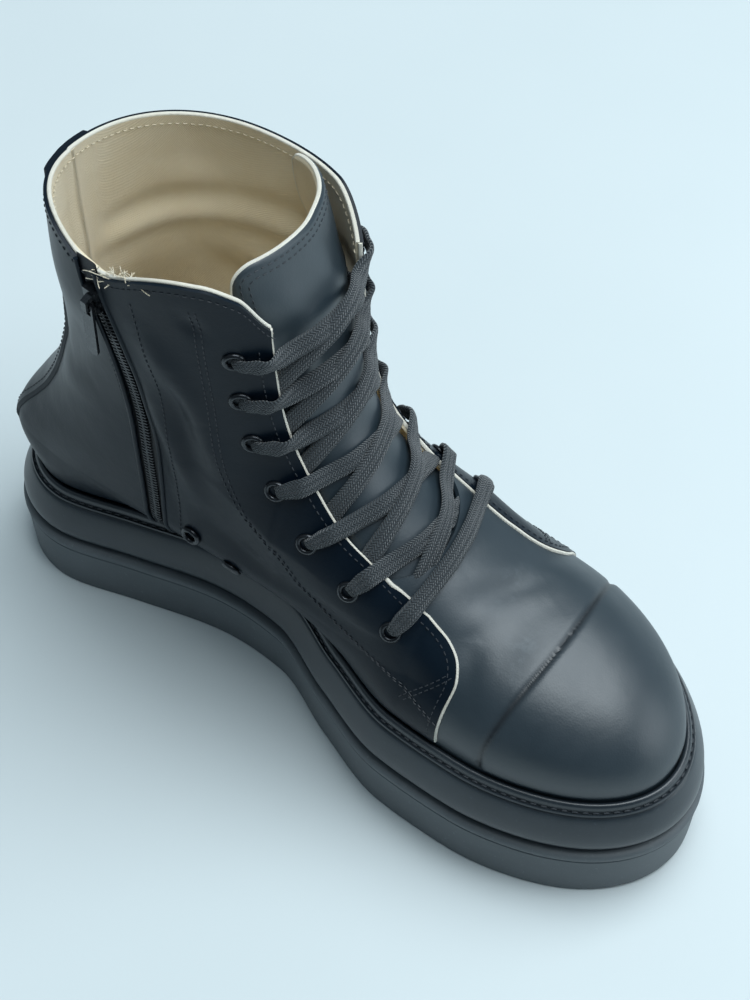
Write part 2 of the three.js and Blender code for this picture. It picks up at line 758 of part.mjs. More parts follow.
// Upper: hollow leather wall with the quarters and the toe cap as steps in its thickness
function upper() {
  const quarters = upperForm(QUARTER_STEP).intersect(quarterZone());
  const capZone = box([-BALL_WIDTH, stationY(1.1), FEATHER / 2], [BALL_WIDTH, stationY(TOE_CAP_STATION), COLLAR_HEIGHT]);
  const toeCap = upperForm(TOE_CAP_STEP).intersect(capZone);
  let body = upperForm(0).add(quarters).add(toeCap);
  body = body.subtract(upperForm(-WALL, { reach: OPEN_REACH }));
  body = body.subtract(throatZone(THROAT_HALF, VAMP_EDGE));
  body = body.subtract(zipStrip(ZIP_SLOT, 0));
  holes().forEach((hole) => {
    body = body.subtract(hole);
  });
  return geometryFrom(body);
}

// A cylinder across the upper's wall at a place, between two lifts from the quarter's face.
function drill({ point, normal }, radius, from, to) {
  const geometry = new THREE.CylinderGeometry(radius, radius, to - from, EYELET_SIDES);
  geometry.translate(0, (from + to) / 2, 0);
  geometry.applyQuaternion(new THREE.Quaternion().setFromUnitVectors(new THREE.Vector3(0, 1, 0), normal));
  geometry.translate(point.x, point.y, point.z);
  return solid(geometry);
}

function eyeletPlaces() {
  const places = [];
  for (let i = 0; i < EYELET_PAIRS; i += 1) {
    places.push({ name: `eyelet_inner_${i + 1}`, ...eyeletPlace(INNER_SIDE, i) });
    places.push({ name: `eyelet_outer_${i + 1}`, ...eyeletPlace(OUTER_SIDE, i) });
  }
  VENTS.forEach(({ station, height }, i) => {
    places.push({
      name: `vent_eyelet_${i + 1}`,
      ...onUpper(INNER_SIDE, station * SOLE_LENGTH, height, QUARTER_STEP),
    });
  });
  return places;
}

const EYELETS = eyeletPlaces();
const BARREL = EYELET_BORE + 0.6;
const holes = () => EYELETS.map((eyelet) => drill(eyelet, BARREL + GAP, -6, 6).add(
  drill(eyelet, EYELET_RADIUS + GAP, 0, 6),
));

// Eyelet: a rolled flange on the quarter with a short barrel into its hole
function eyeletGeometry() {
  const tail = 2 * GAP - WALL - QUARTER_STEP;
  const outline = [
    [EYELET_BORE, tail],
    [BARREL, tail],
    [BARREL, GAP],
    [EYELET_RADIUS, GAP],
    [EYELET_RADIUS - 0.5, GAP + 0.9],
    [EYELET_BORE, GAP + 0.7],
    [EYELET_BORE, tail],
  ];
  return new THREE.LatheGeometry(outline.map(([x, y]) => new THREE.Vector2(x, y)), EYELET_SIDES);
}

// Backstay: a strip up the heel between two larger forms, wider towards the sole
const BACKSTAY_EDGE = [
  { rise: 0.045, half: 0.9 },
  { rise: 0.25, half: 0.84 },
  { rise: 0.5, half: 0.76 },
  { rise: 0.7, half: 0.64 },
  { rise: 1.1, half: 0.5 },
];

function backstay() {
  const low = QUARTER_STEP + GAP;
  const shell = upperForm(low + BACKSTAY_THICKNESS).subtract(upperForm(low, { reach: OPEN_REACH }));
  const edge = (side) => BACKSTAY_EDGE.map(({ rise, half }) => [-side * half * BACKSTAY_WIDTH, levelAt(rise)]);
  const outline = [...edge(INNER_SIDE), ...edge(OUTER_SIDE).reverse()];
  return geometryFrom(shell.intersect(prism(outline, 'y', stationY(0.14), stationY(-0.1))));
}

// Tongue: a sheet just inside the upper, from under the vamp's edge to above the collar
const TONGUE_EDGE = [
  { height: 0.24, inner: 0.22, outer: 0.22 },
  { height: 0.45, inner: 0.27, outer: 0.3 },
  { height: 0.75, inner: 0.26, outer: 0.42 },
  { height: 0.93, inner: 0.21, outer: 0.45 },
  { height: 0.99, inner: 0.19, outer: 0.445 },
];

// The tongue's upper part leans back from the laces into the shaft, less at its outer edge.
function leanedBack(geometry) {
  const places = geometry.getAttribute('position');
  for (let i = 0; i < places.count; i += 1) {
    const share = clamp((places.getZ(i) - TONGUE_BEND) / (TONGUE_TOP - TONGUE_BEND), 0, 1);
    const back = mix(TONGUE_LEAN, TONGUE_OUTER_LEAN, ease((places.getX(i) - 20) / 22));
    places.setY(i, places.getY(i) + back * share ** 1.25);
  }
  return geometry;
}

function tongue() {
  const near = -(WALL + GAP + 0.2);
  const flat = (x) => TONGUE_TOP - 4 * ease((x + 10) / 50);
  const shell = upperForm(near, { top: flat }).subtract(upperForm(near - TONGUE_THICKNESS, { reach: OPEN_REACH, top: flat }));
  const side = (name, sign) => TONGUE_EDGE.map((row) => [-sign * row[name] * BALL_WIDTH, levelAt(row.height)]);
  const rounded = (name, sign) => [-sign * (TONGUE_EDGE[4][name] * BALL_WIDTH - 6), TONGUE_TOP + 6];
  const outline = [
    ...side('inner', INNER_SIDE), rounded('inner', INNER_SIDE),
    rounded('outer', OUTER_SIDE), ...side('outer', OUTER_SIDE).reverse(),
  ];
  const face = prism(outline, 'y', stationY(0.66), stationY(0.335));
  const inside = upperForm(-(WALL + GAP), { reach: 2 * OPEN_REACH });
  return leanedBack(geometryFrom(shell.intersect(face).intersect(inside)));
}

// Lace: flat bars that cross the throat, joined where they cross and at the edges
function bar(path) {
  const points = [];
  const faces = [];
  path.forEach(({ point, normal }, i) => {
    const before = path[Math.max(i - 1, 0)].point;
    const after = path[Math.min(i + 1, path.length - 1)].point;
    const run = after.clone().sub(before).normalize();
    const across = new THREE.Vector3().crossVectors(normal, run).normalize().multiplyScalar(LACE_WIDTH / 2);
    const up = new THREE.Vector3().crossVectors(run, across).normalize().multiplyScalar(LACE_THICKNESS / 2);
    [[1, 1], [-1, 1], [-1, -1], [1, -1]].forEach(([a, b]) => {
      const corner = point.clone().addScaledVector(across, a).addScaledVector(up, b);
      points.push(corner.toArray());
    });
  });
  for (let k = 0; k < path.length - 1; k += 1) {
    for (let i = 0; i < 4; i += 1) {
      const a = k * 4 + i;
      const b = k * 4 + ((i + 1) % 4);
      faces.push([a, b, b + 4], [a, b + 4, a + 4]);
    }
  }
  const end = (path.length - 1) * 4;
  faces.push([0, 2, 1], [0, 3, 2], [end, end + 1, end + 2], [end, end + 2, end + 3]);
  return geometryOf(points, faces);
}

// Heights of the lace's middle over the upper's base face: over a quarter, over its edge, in the throat
const LACE_ON_QUARTER = QUARTER_STEP + 4 * GAP + LACE_THICKNESS / 2;
const LACE_AT_EDGE = LACE_ON_QUARTER;
const LACE_IN_THROAT = 3 * GAP + LACE_THICKNESS / 2;
const LACE_END_INSET = 9;

// The throat's outward direction between two edge places, square to the boot's length.
function throatOut(a, b) {
  const out = a.normal.clone().add(b.normal);
  out.x = 0;
  return out.normalize();
}

// A lace end just clear of an eyelet's flange, towards the throat's edge.
function besideEyelet(eyelet, edge) {
  const towards = edge.point.clone().sub(eyelet.point);
  const step = towards.setLength(EYELET_RADIUS + 2 * GAP);
  const point = eyelet.point.clone().add(step).addScaledVector(eyelet.normal, LACE_ON_QUARTER - QUARTER_STEP);
  return { point, normal: eyelet.normal };
}

function crossing(from, start, end, endsOver) {
  const out = throatOut(start, end);
  const span = end.point.clone().sub(start.point);
  const reach = endsOver ? 1 : 1 - LACE_END_INSET / span.length();
  const path = [];
  const lay = (share, lift) => {
    const inner = start.point.clone().addScaledVector(span, share).addScaledVector(out, -4);
    const normal = start.normal.clone().lerp(end.normal, share).normalize();
    path.push({ point: skin(inner, out).addScaledVector(out, lift), normal });
  };
  path.push(besideEyelet(from, start));
  path.push({ point: start.point.clone().addScaledVector(start.normal, LACE_AT_EDGE), normal: start.normal });
  [0.22, 0.5, 0.78].forEach((share) => lay(share * reach, mix(LACE_AT_EDGE, LACE_IN_THROAT, share)));
  if (!endsOver) {
    lay(reach, LACE_AT_EDGE - LACE_THICKNESS);
  }
  return path;
}

function lace() {
  const bars = [];
  const eyelet = (side, i) => eyeletPlace(side, i);
  for (let i = 0; i < EYELET_PAIRS - 1; i += 1) {
    [INNER_SIDE, OUTER_SIDE].forEach((side) => {
      bars.push(crossing(eyelet(side, i), EDGES[side][i], EDGES[-side][i + 1], false));
    });
  }
  const last = EYELET_PAIRS - 1;
  const straight = crossing(eyelet(INNER_SIDE, last), EDGES[INNER_SIDE][last], EDGES[OUTER_SIDE][last], true);
  const edge = EDGES[OUTER_SIDE][last];
  const home = eyelet(OUTER_SIDE, last);
  straight.push({ point: edge.point.clone().addScaledVector(edge.normal, LACE_AT_EDGE), normal: edge.normal });
  straight.push(besideEyelet(home, edge));
  bars.push(straight);
  const joined = bars.map((path) => solid(bar(path))).reduce((sum, next) => sum.add(next));
  const quarters = upperForm(QUARTER_STEP + GAP).intersect(quarterZone());
  const pieces = joined.subtract(quarters).decompose();
  return geometryFrom(pieces.reduce((most, piece) => (piece.volume() > most.volume() ? piece : most)));
}

// Zip: a tape in the upper's slot, a raised chain on it, a slider at the top and its hanging pull tab
const SLIDER_LENGTH = 10.5;
const SLIDER_WIDTH = 6;
const SLIDER_HEIGHT = 3;
const SLIDER_LEVEL = 0.918;
const BRIDGE_WIDTH = 2.4;
const BRIDGE_HEIGHT = 3;
const PIN_RADIUS = 0.6;
const PIN_CLEARANCE = 0.4;
const TAPE_TOP = 0.3;
const CHAIN_BOTTOM = TAPE_TOP + GAP;

function zipTape() {
  const shell = upperForm(TAPE_TOP).subtract(upperForm(TAPE_TOP - 1.2, { reach: OPEN_REACH }));
  return geometryFrom(shell.intersect(zipStrip(ZIP_SLOT - 2 * GAP, GAP)));
}

function zipChain() {
  const shell = upperForm(CHAIN_BOTTOM + 1.3).subtract(upperForm(CHAIN_BOTTOM, { reach: OPEN_REACH }));
  const top = levelAt(SLIDER_LEVEL) - SLIDER_LENGTH / 2 - GAP;
  const below = box([-BALL_WIDTH, -SOLE_LENGTH, 0], [BALL_WIDTH, SOLE_LENGTH, top]);
  return geometryFrom(shell.intersect(zipStrip(ZIP_CHAIN, 1)).intersect(below));
}

// The slider's frame: X along the boot, Y up the zip, Z outwards.
function sliderFrame() {
  const along = read(ZIP_LINE, 'height', 'station', SLIDER_LEVEL) * SOLE_LENGTH;
  const { point, normal } = onUpper(INNER_SIDE, along, SLIDER_LEVEL, CHAIN_BOTTOM);
  const across = new THREE.Vector3(0, 0, 1).cross(normal).normalize();
  const up = normal.clone().cross(across).normalize();
  return { point, across, up, normal };
}

const SLIDER = sliderFrame();
const PIN_LIFT = SLIDER_HEIGHT + PIN_RADIUS + PIN_CLEARANCE + 0.3;

function zipSlider() {
  const plate = new THREE.Shape();
  plate.moveTo(-SLIDER_WIDTH / 2, SLIDER_LENGTH / 2);
  plate.lineTo(-SLIDER_WIDTH / 2.6, -SLIDER_LENGTH / 2);
  plate.lineTo(SLIDER_WIDTH / 2.6, -SLIDER_LENGTH / 2);
  plate.lineTo(SLIDER_WIDTH / 2, SLIDER_LENGTH / 2);
  const body = solid(new THREE.ExtrudeGeometry(plate, { depth: SLIDER_HEIGHT, bevelEnabled: false }));
  const arch = new THREE.Shape();
  arch.moveTo(-3.6, SLIDER_HEIGHT - 0.5);
  arch.lineTo(3.6, SLIDER_HEIGHT - 0.5);
  arch.lineTo(2.4, SLIDER_HEIGHT + BRIDGE_HEIGHT);
  arch.lineTo(-2.4, SLIDER_HEIGHT + BRIDGE_HEIGHT);
  const eye = new THREE.Path();
  eye.absarc(0, PIN_LIFT, PIN_RADIUS + PIN_CLEARANCE, 0, 2 * Math.PI, true);
  arch.holes.push(eye);
  const bridge = new THREE.ExtrudeGeometry(arch, { depth: BRIDGE_WIDTH, bevelEnabled: false, curveSegments: 8 });
  bridge.translate(0, 0, -BRIDGE_WIDTH / 2);
  bridge.applyMatrix4(new THREE.Matrix4().set(0, 0, 1, 0, 1, 0, 0, 0, 0, 1, 0, 0, 0, 0, 0, 1));
  return geometryFrom(body.add(solid(bridge)));
}

// The pull tab hangs down from its pin; its origin is on the pin's axis.
function zipPull() {
  const rail = BRIDGE_WIDTH / 2 + PIN_CLEARANCE;
  const half = PULL_WIDTH / 2;
  const window = 4.8;
  const outline = new THREE.Shape();
  outline.moveTo(-half, PIN_RADIUS);
  outline.lineTo(half, PIN_RADIUS);
  outline.lineTo(half, -PULL_LENGTH + half);
  outline.absarc(0, -PULL_LENGTH + half, half, 0, -Math.PI, true);
  outline.lineTo(-half, PIN_RADIUS);
  const gap = new THREE.Path();
  gap.moveTo(-rail, -PIN_RADIUS);
  gap.lineTo(-rail, -window);
  gap.lineTo(rail, -window);
  gap.lineTo(rail, -PIN_RADIUS);
  outline.holes.push(gap);
  const geometry = new THREE.ExtrudeGeometry(outline, {
    depth: PULL_THICKNESS, bevelEnabled: false, curveSegments: 6,
  });
  geometry.translate(0, 0, -PULL_THICKNESS / 2);
  return geometryFrom(solid(geometry));
}

place('outsole', outsole(), colours.rubber);
place('midsole', midsole(), colours.band);
place('storm_welt', stormWelt(), colours.welt);
place('insole', insole(), colours.canvas);
place('upper', upper(), colours.leather);
place('backstay', backstay(), colours.leather);
place('tongue', tongue(), colours.leather);
const eyeletShape = eyeletGeometry();
EYELETS.forEach(({ name, point, normal }) => {
  const mesh = place(name, eyeletShape, colours.metal);
  mesh.position.copy(point);
  mesh.quaternion.setFromUnitVectors(new THREE.Vector3(0, 1, 0), normal);
});

place('lace', lace(), colours.cord);
place('zip_tape', zipTape(), colours.cord);
place('zip_chain', zipChain(), colours.metal);
const slider = place('zip_slider', zipSlider(), colours.metal);
slider.position.copy(SLIDER.point);
slider.quaternion.setFromRotationMatrix(new THREE.Matrix4().makeBasis(SLIDER.across, SLIDER.up, SLIDER.normal));
const pull = place('zip_pull', zipPull(), colours.metal);
pull.position.copy(SLIDER.point.clone().addScaledVector(SLIDER.normal, PIN_LIFT));
const upright = new THREE.Vector3(0, 0, 1);
const outwards = SLIDER.across.clone().cross(upright);
pull.quaternion.setFromRotationMatrix(new THREE.Matrix4().makeBasis(SLIDER.across, upright, outwards));

export default group;
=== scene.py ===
"""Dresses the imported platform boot: leather, canvas, laces, zip and sole, in the frame's own metres."""
import math
import bmesh
import bpy
import numpy as np
from mathutils import Matrix, Vector

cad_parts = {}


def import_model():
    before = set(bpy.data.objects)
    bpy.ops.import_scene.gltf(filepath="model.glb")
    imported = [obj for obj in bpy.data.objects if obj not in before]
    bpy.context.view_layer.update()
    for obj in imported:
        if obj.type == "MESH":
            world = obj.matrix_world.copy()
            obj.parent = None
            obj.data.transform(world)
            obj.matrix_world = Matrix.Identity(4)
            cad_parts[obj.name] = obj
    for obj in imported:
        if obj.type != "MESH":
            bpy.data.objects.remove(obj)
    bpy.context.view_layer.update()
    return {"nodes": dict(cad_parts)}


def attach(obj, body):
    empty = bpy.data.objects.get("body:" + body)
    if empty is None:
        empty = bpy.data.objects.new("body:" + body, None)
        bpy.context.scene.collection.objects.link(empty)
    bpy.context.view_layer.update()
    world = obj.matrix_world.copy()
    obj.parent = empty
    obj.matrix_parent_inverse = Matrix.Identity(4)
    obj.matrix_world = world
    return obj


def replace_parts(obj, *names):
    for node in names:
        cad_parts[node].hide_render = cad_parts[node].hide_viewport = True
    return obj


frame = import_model()
MM = 0.001
SHARP_ANGLE = 38

# Sizes, in millimetres, as in the CAD source
SOLE_LENGTH = 290
BALL_WIDTH = 108
OUTSOLE_HEIGHT = 28
MIDSOLE_HEIGHT = 18.6
LIP_HEIGHT = 2.6
HEEL_ROUND = 36
TOE_ROUND = 72
TOE_SPRING = 1.5
TOE_SPRING_LENGTH = 34
WELT_REACH = 5.3
WELT_THICKNESS = 1.1
BEAD_HEIGHT = 4.5
FEATHER_INSET = 9.9
INSOLE_THICKNESS = 3.4
COLLAR_HEIGHT = 208
SHAFT_WIDTH = 86
WALL = 1.6
QUARTER_STEP = 1.2
THROAT_HALF = 25
TONGUE_TOP = 214
BACKSTAY_WIDTH = 22
EYELET_PAIRS = 7
EYELET_SET_BACK = 12
ZIP_SLOT = 8
GAP = 0.3
MIDSOLE_BOTTOM = OUTSOLE_HEIGHT + GAP
MIDSOLE_TOP = MIDSOLE_BOTTOM + MIDSOLE_HEIGHT
FEATHER = MIDSOLE_TOP + GAP
BEAD_TOP = FEATHER + BEAD_HEIGHT
SHAFT_RISE = COLLAR_HEIGHT - FEATHER
BULGE = 1.4
BULGE_RISE = 0.14
OVAL = 2.15
ARCH_BLEND = 0.17
ARCH_END = 0.7
SHAFT_BLEND = 0.3
SHAFT_FULL_RISE = 0.25
COLLAR_TILT = 0.17
COLLAR_DIP = 7
COLLAR_LIFT = 5
THROAT_DROP = 13
CORNER_DROP = 9
INNER = -1
OUTER = 1


def table(columns, rows):
    values = np.array(rows, float)
    return {name: values[:, i] for i, name in enumerate(columns.split())}


PLAN = table("station centre half", [
    (0.0, -0.03, 0.312),
    (0.12, -0.012, 0.312),
    (0.22, 0.032, 0.301),
    (0.33, 0.076, 0.291),
    (0.43, 0.093, 0.325),
    (0.53, 0.053, 0.415),
    (0.64, 0.008, 0.488),
    (0.72, -0.006, 0.497),
    (0.84, -0.03, 0.482),
    (1.0, -0.075, 0.465),
])
RIDGE = table("height station centre", [
    (0.0, 0.966, -0.07),
    (0.03, 0.966, -0.07),
    (0.068, 0.962, -0.068),
    (0.105, 0.95, -0.062),
    (0.148, 0.928, -0.055),
    (0.185, 0.897, -0.045),
    (0.211, 0.859, -0.035),
    (0.234, 0.809, -0.025),
    (0.25, 0.757, -0.025),
    (0.273, 0.707, -0.04),
    (0.304, 0.671, -0.055),
    (0.342, 0.636, -0.06),
    (0.391, 0.602, -0.055),
    (0.441, 0.567, -0.045),
    (0.503, 0.533, -0.02),
    (0.566, 0.505, 0.01),
    (0.64, 0.488, 0.035),
    (0.733, 0.475, 0.05),
    (0.857, 0.466, 0.055),
    (1.1, 0.46, 0.055),
])
SHAFT = table("height back centre outer inner round", [
    (0.0, 0.034, -0.03, 0.37, 0.31, 0.125),
    (0.03, 0.034, -0.03, 0.375, 0.315, 0.125),
    (0.08, 0.03, -0.03, 0.39, 0.335, 0.13),
    (0.143, 0.029, -0.03, 0.405, 0.35, 0.135),
    (0.205, 0.036, -0.025, 0.42, 0.365, 0.14),
    (0.267, 0.053, -0.02, 0.435, 0.375, 0.145),
    (0.329, 0.072, -0.015, 0.45, 0.38, 0.15),
    (0.404, 0.091, -0.01, 0.465, 0.385, 0.155),
    (0.484, 0.106, 0.0, 0.485, 0.39, 0.16),
    (0.577, 0.115, 0.01, 0.505, 0.395, 0.165),
    (0.7, 0.115, 0.02, 0.53, 0.405, 0.17),
    (0.857, 0.111, 0.02, 0.56, 0.42, 0.172),
    (1.1, 0.112, 0.02, 0.585, 0.43, 0.172),
])
ZIP_LINE = table("station height", [
    (0.228, 1.06),
    (0.236, 0.96),
    (0.25, 0.87),
    (0.265, 0.76),
    (0.276, 0.63),
    (0.281, 0.5),
    (0.282, 0.35),
    (0.28, 0.2),
    (0.279, 0.125),
])
ARCH_FILL = table("station half", [
    (0.1, 0.25),
    (0.22, 0.285),
    (0.35, 0.325),
    (0.45, 0.355),
    (0.55, 0.385),
    (0.64, 0.405),
    (0.7, 0.3),
])
THROAT_MIDDLE = table("station centre", [(0.3, 0.055), (0.45, 0.05), (0.56, 0.0), (0.7, 0.005)])
QUARTER_FRONT = table("spread station", [
    (1.0, 0.655), (1.05, 0.685), (1.18, 0.706), (1.4, 0.716), (1.75, 0.712), (2.6, 0.704),
])


def mix(a, b, share):
    return a + (b - a) * share


def ease(share):
    t = np.clip(share, 0, 1)
    return t * t * (3 - 2 * t)


def read(rows, key, column, at):
    """A column of a table at a key, on a smooth curve that never overshoots its rows."""
    x = rows[key]
    y = rows[column]
    at = np.asarray(at, float)
    if x[-1] < x[0]:
        x = -x
        at = -at
    at = np.clip(at, x[0], x[-1])
    width = np.diff(x)
    slope = np.diff(y) / width
    before = slope[:-1]
    after = slope[1:]
    both = np.where(before + after == 0, 1, before + after)
    inside = np.where(before * after <= 0, 0, 2 * before * after / both)
    tangent = np.concatenate([slope[:1], inside, slope[-1:]])
    i = np.clip(np.searchsorted(x, at, side="left") - 1, 0, len(x) - 2)
    t = (at - x[i]) / width[i]
    start = t * (1 - t) ** 2 * width[i] * tangent[i]
    end = t * t * (t - 1) * width[i] * tangent[i + 1]
    return mix(y[i], y[i + 1], t * t * (3 - 2 * t)) + start + end


def rounded_end(distance, radius):
    """How full a rounded end is at a distance from its tip: 0 at the tip, 1 from its radius on."""
    return np.sqrt(1 - np.clip((radius - distance) / radius, 0, 1) ** 2)


def plan_points(count):
    """Points round the plan: heel end, outer side, toe, inner side; and their outward directions."""
    t = np.arange(2 * count) / count
    side = np.where(t <= 1, OUTER, INNER)
    along = SOLE_LENGTH * (1 - np.cos(np.pi * np.where(t <= 1, t, 2 - t))) / 2
    ends = rounded_end(along, HEEL_ROUND) * rounded_end(SOLE_LENGTH - along, TOE_ROUND)
    half = read(PLAN, "station", "half", along / SOLE_LENGTH) * BALL_WIDTH * ends
    centre = read(PLAN, "station", "centre", along / SOLE_LENGTH) * BALL_WIDTH
    points = np.stack([centre + side * half, SOLE_LENGTH / 2 - along], 1)
    run = np.roll(points, -1, 0) - np.roll(points, 1, 0)
    run /= np.linalg.norm(run, axis=1)[:, None]
    return points, np.stack([-run[:, 1], run[:, 0]], 1)


PLAN_STEPS = 160
PLAN_POINTS, PLAN_NORMALS = plan_points(PLAN_STEPS)
PLAN_MIDDLE = (PLAN_POINTS[:, 0].min() + PLAN_POINTS[:, 0].max()) / 2
FEATHER_LINE = PLAN_POINTS - PLAN_NORMALS * FEATHER_INSET
FEATHER_BACK = SOLE_LENGTH / 2 - FEATHER_LINE[0, 1]
FEATHER_FRONT = SOLE_LENGTH / 2 - FEATHER_LINE[PLAN_STEPS, 1]


def station_y(share):
    return SOLE_LENGTH / 2 - share * SOLE_LENGTH


def rise_at(height):
    return (height - FEATHER) / SHAFT_RISE


def level_at(rise):
    return FEATHER + rise * SHAFT_RISE


UPRIGHT_RISE = rise_at(BEAD_TOP + GAP)


def feather_x(side, along):
    """The X place of the line where the upper meets the sole."""
    y = SOLE_LENGTH / 2 - np.asarray(along, float)
    outer = FEATHER_LINE[PLAN_STEPS::-1]
    inner = np.concatenate([FEATHER_LINE[PLAN_STEPS:], FEATHER_LINE[:1]])
    return np.where(
        side > 0,
        np.interp(y, outer[:, 1], outer[:, 0]),
        np.interp(y, inner[:, 1], inner[:, 0]),
    )


def front_at(rise):
    front = np.minimum(FEATHER_FRONT, read(RIDGE, "height", "station", rise) * SOLE_LENGTH)
    return np.where(rise <= UPRIGHT_RISE, FEATHER_FRONT, front)


def back_at(rise):
    return np.where(rise <= UPRIGHT_RISE, FEATHER_BACK, read(SHAFT, "height", "back", rise) * SOLE_LENGTH)


def oval(share):
    """The height of a squarish oval at a share of its half width."""
    return (1 - np.clip(share, 0, 1) ** OVAL) ** (1 / OVAL)


def upper_x(side, along, rise):
    """The X place of the upper's outer face at a distance from the heel end, a rise and a side."""
    places = (np.asarray(value, float) for value in (side, along, rise))
    side, along, rise = np.broadcast_arrays(*places)
    front = front_at(rise)
    back = back_at(rise)
    share = np.clip((along - back) / (front - back), 0, 1)
    upright = feather_x(side, mix(FEATHER_BACK, FEATHER_FRONT, share))
    clear = rise - UPRIGHT_RISE
    foot_line = feather_x(side, np.clip(along, FEATHER_BACK, FEATHER_FRONT))
    full = -read(ARCH_FILL, "station", "half", along / SOLE_LENGTH) * BALL_WIDTH
    filled = mix(foot_line, np.minimum(foot_line, full), ease(clear / ARCH_BLEND))
    foot_line = np.where((side > 0) | (along > ARCH_END * SOLE_LENGTH), foot_line, filled)
    centre_front = read(RIDGE, "height", "centre", rise) * BALL_WIDTH
    centre_back = read(SHAFT, "height", "centre", rise) * SHAFT_WIDTH
    middle = mix(centre_back, centre_front, ease(share))
    upper_rows = {"station": RIDGE["station"][1:], "height": RIDGE["height"][1:]}
    ridge = read(upper_rows, "station", "height", along / SOLE_LENGTH)
    dome = oval(clear / np.maximum(ridge - UPRIGHT_RISE, 1e-6))
    swell = BULGE * np.sin(np.pi * np.clip(clear / BULGE_RISE, 0, 1))
    foot = middle + (foot_line + side * swell - middle) * dome
    outward = read(SHAFT, "height", "outer", rise)
    inward = -read(SHAFT, "height", "inner", rise)
    reach = np.where(side > 0, outward, inward) * SHAFT_WIDTH
    round_ = read(SHAFT, "height", "round", rise) * SOLE_LENGTH
    behind = oval((back + round_ - along) / round_)
    ahead = oval((along - back - round_) / np.maximum(front - back - round_, 1))
    shaft = middle + (reach - middle) * np.where(along < back + round_, behind, ahead)
    up = ease(clear / SHAFT_BLEND)
    rear = 1 - ease((share - 0.42) / 0.4)
    weight = np.clip(np.maximum(up * rear, ease((rise - SHAFT_BLEND) / SHAFT_FULL_RISE)), 0, 1)
    return np.where(rise <= UPRIGHT_RISE, upright, mix(foot, shaft, weight))


def surface(turn, rise):
    """The upper's face. Turn runs from the heel (0) by the outer side to the front (1), then back (2)."""
    turn, rise = np.broadcast_arrays(np.asarray(turn, float), np.asarray(rise, float))
    side = np.where(turn <= 1, OUTER, INNER)
    share = (1 - np.cos(np.pi * np.where(turn <= 1, turn, 2 - turn))) / 2
    along = mix(back_at(rise), front_at(rise), share)
    return np.stack([upper_x(side, along, rise), SOLE_LENGTH / 2 - along, level_at(rise)], -1)


def turn_at(side, along, rise):
    """The turn at which the face is that far from the heel end, at a rise, on one side."""
    back = back_at(rise)
    share = np.clip((along - back) / (front_at(rise) - back), 0, 1)
    turn = np.arccos(1 - 2 * share) / np.pi
    return np.where(np.asarray(side) > 0, turn, 2 - turn)


def hump(value, middle, width):
    """A soft bell: 1 at its middle, falling off over its width."""
    return np.exp(-(((value - middle) / width) ** 2))


def collar_level(x, y):
    """The collar's height: dipped at the zip, raised ahead of it and cut down to the throat."""
    along = SOLE_LENGTH / 2 - y
    inner = ease(-x / 20)
    dip = -COLLAR_DIP * hump(along, 0.24 * SOLE_LENGTH, 17) * inner
    lift = COLLAR_LIFT * ease((along - 0.26 * SOLE_LENGTH) / 30) * inner
    drop = THROAT_DROP * ease((along - 0.375 * SOLE_LENGTH) / 24)
    rounding = CORNER_DROP * ease((along - 0.408 * SOLE_LENGTH) / 8) * inner
    return COLLAR_HEIGHT - COLLAR_TILT * x + dip + lift - drop - rounding


OUTER_REACH = 0.012


def throat_along(side, rise):
    """How far forward the quarter reaches on one side at a rise."""
    rise = np.atleast_1d(np.asarray(rise, float))
    along = np.linspace(0.35, 0.735, 500) * SOLE_LENGTH
    x = upper_x(side, along[None, :], rise[:, None])
    station = along / SOLE_LENGTH
    middle = read(THROAT_MIDDLE, "station", "centre", station) * BALL_WIDTH
    spread = side * (x - middle) / THROAT_HALF
    reach = np.interp(spread, QUARTER_FRONT["spread"], QUARTER_FRONT["station"])
    reach = reach + (OUTER_REACH if side > 0 else 0)
    covered = (spread >= 1) & (station <= reach) & (along <= front_at(rise)[:, None] - 0.5)
    last = np.where(covered.any(1), covered.shape[1] - 1 - covered[:, ::-1].argmax(1), 0)
    return along[last]


def unit(vectors):
    return vectors / np.maximum(np.linalg.norm(vectors, axis=-1, keepdims=True), 1e-12)


NEAR = 0.004


def normals(turn, rise):
    """Outward directions of the upper's face."""
    across = surface(np.mod(turn + NEAR, 2), rise) - surface(np.mod(turn - NEAR, 2), rise)
    up = surface(turn, rise + NEAR) - surface(turn, np.maximum(rise - NEAR, 0))
    return unit(np.cross(up, across))


def grid_normals(base, near):
    """Directions square to a grid of points, on the side that the near ones point to for the most part."""
    out = unit(np.cross(np.gradient(base, axis=1), np.gradient(base, axis=0)))
    return out * np.sign(np.median((out * near).sum(-1)))


def relaxed(grid, passes):
    """A grid with its small kinks eased out, its border kept."""
    grid = grid.copy()
    for _ in range(passes):
        rows_beside = grid[:-2, 1:-1] + grid[2:, 1:-1]
        columns_beside = 2 * grid[1:-1, :-2] + 2 * grid[1:-1, 2:]
        grid[1:-1, 1:-1] = (grid[1:-1, 1:-1] * 4 + rows_beside + columns_beside) / 10
    return grid


def place(side, along, level, lift=0.0):
    """A point over the upper's face and its outward direction, by side, along and height."""
    rise = rise_at(np.asarray(level, float))
    turn = turn_at(side, along, rise)
    out = normals(turn, rise)
    return surface(turn, rise) + out * lift, out


def inside(points):
    """Whether each point lies within the upper."""
    along = SOLE_LENGTH / 2 - points[..., 1]
    rise = rise_at(points[..., 2])
    within = (points[..., 0] < upper_x(OUTER, along, rise)) & (points[..., 0] > upper_x(INNER, along, rise))
    return within & (along < front_at(rise)) & (along > back_at(rise))


def skin(start, direction, reach=26):
    """Where a line from inside the upper last meets its face."""
    steps = np.linspace(0, reach, 260)
    hits = inside(start + steps[:, None] * direction)
    return start + steps[hits.argmin() if not hits.all() else -1] * direction


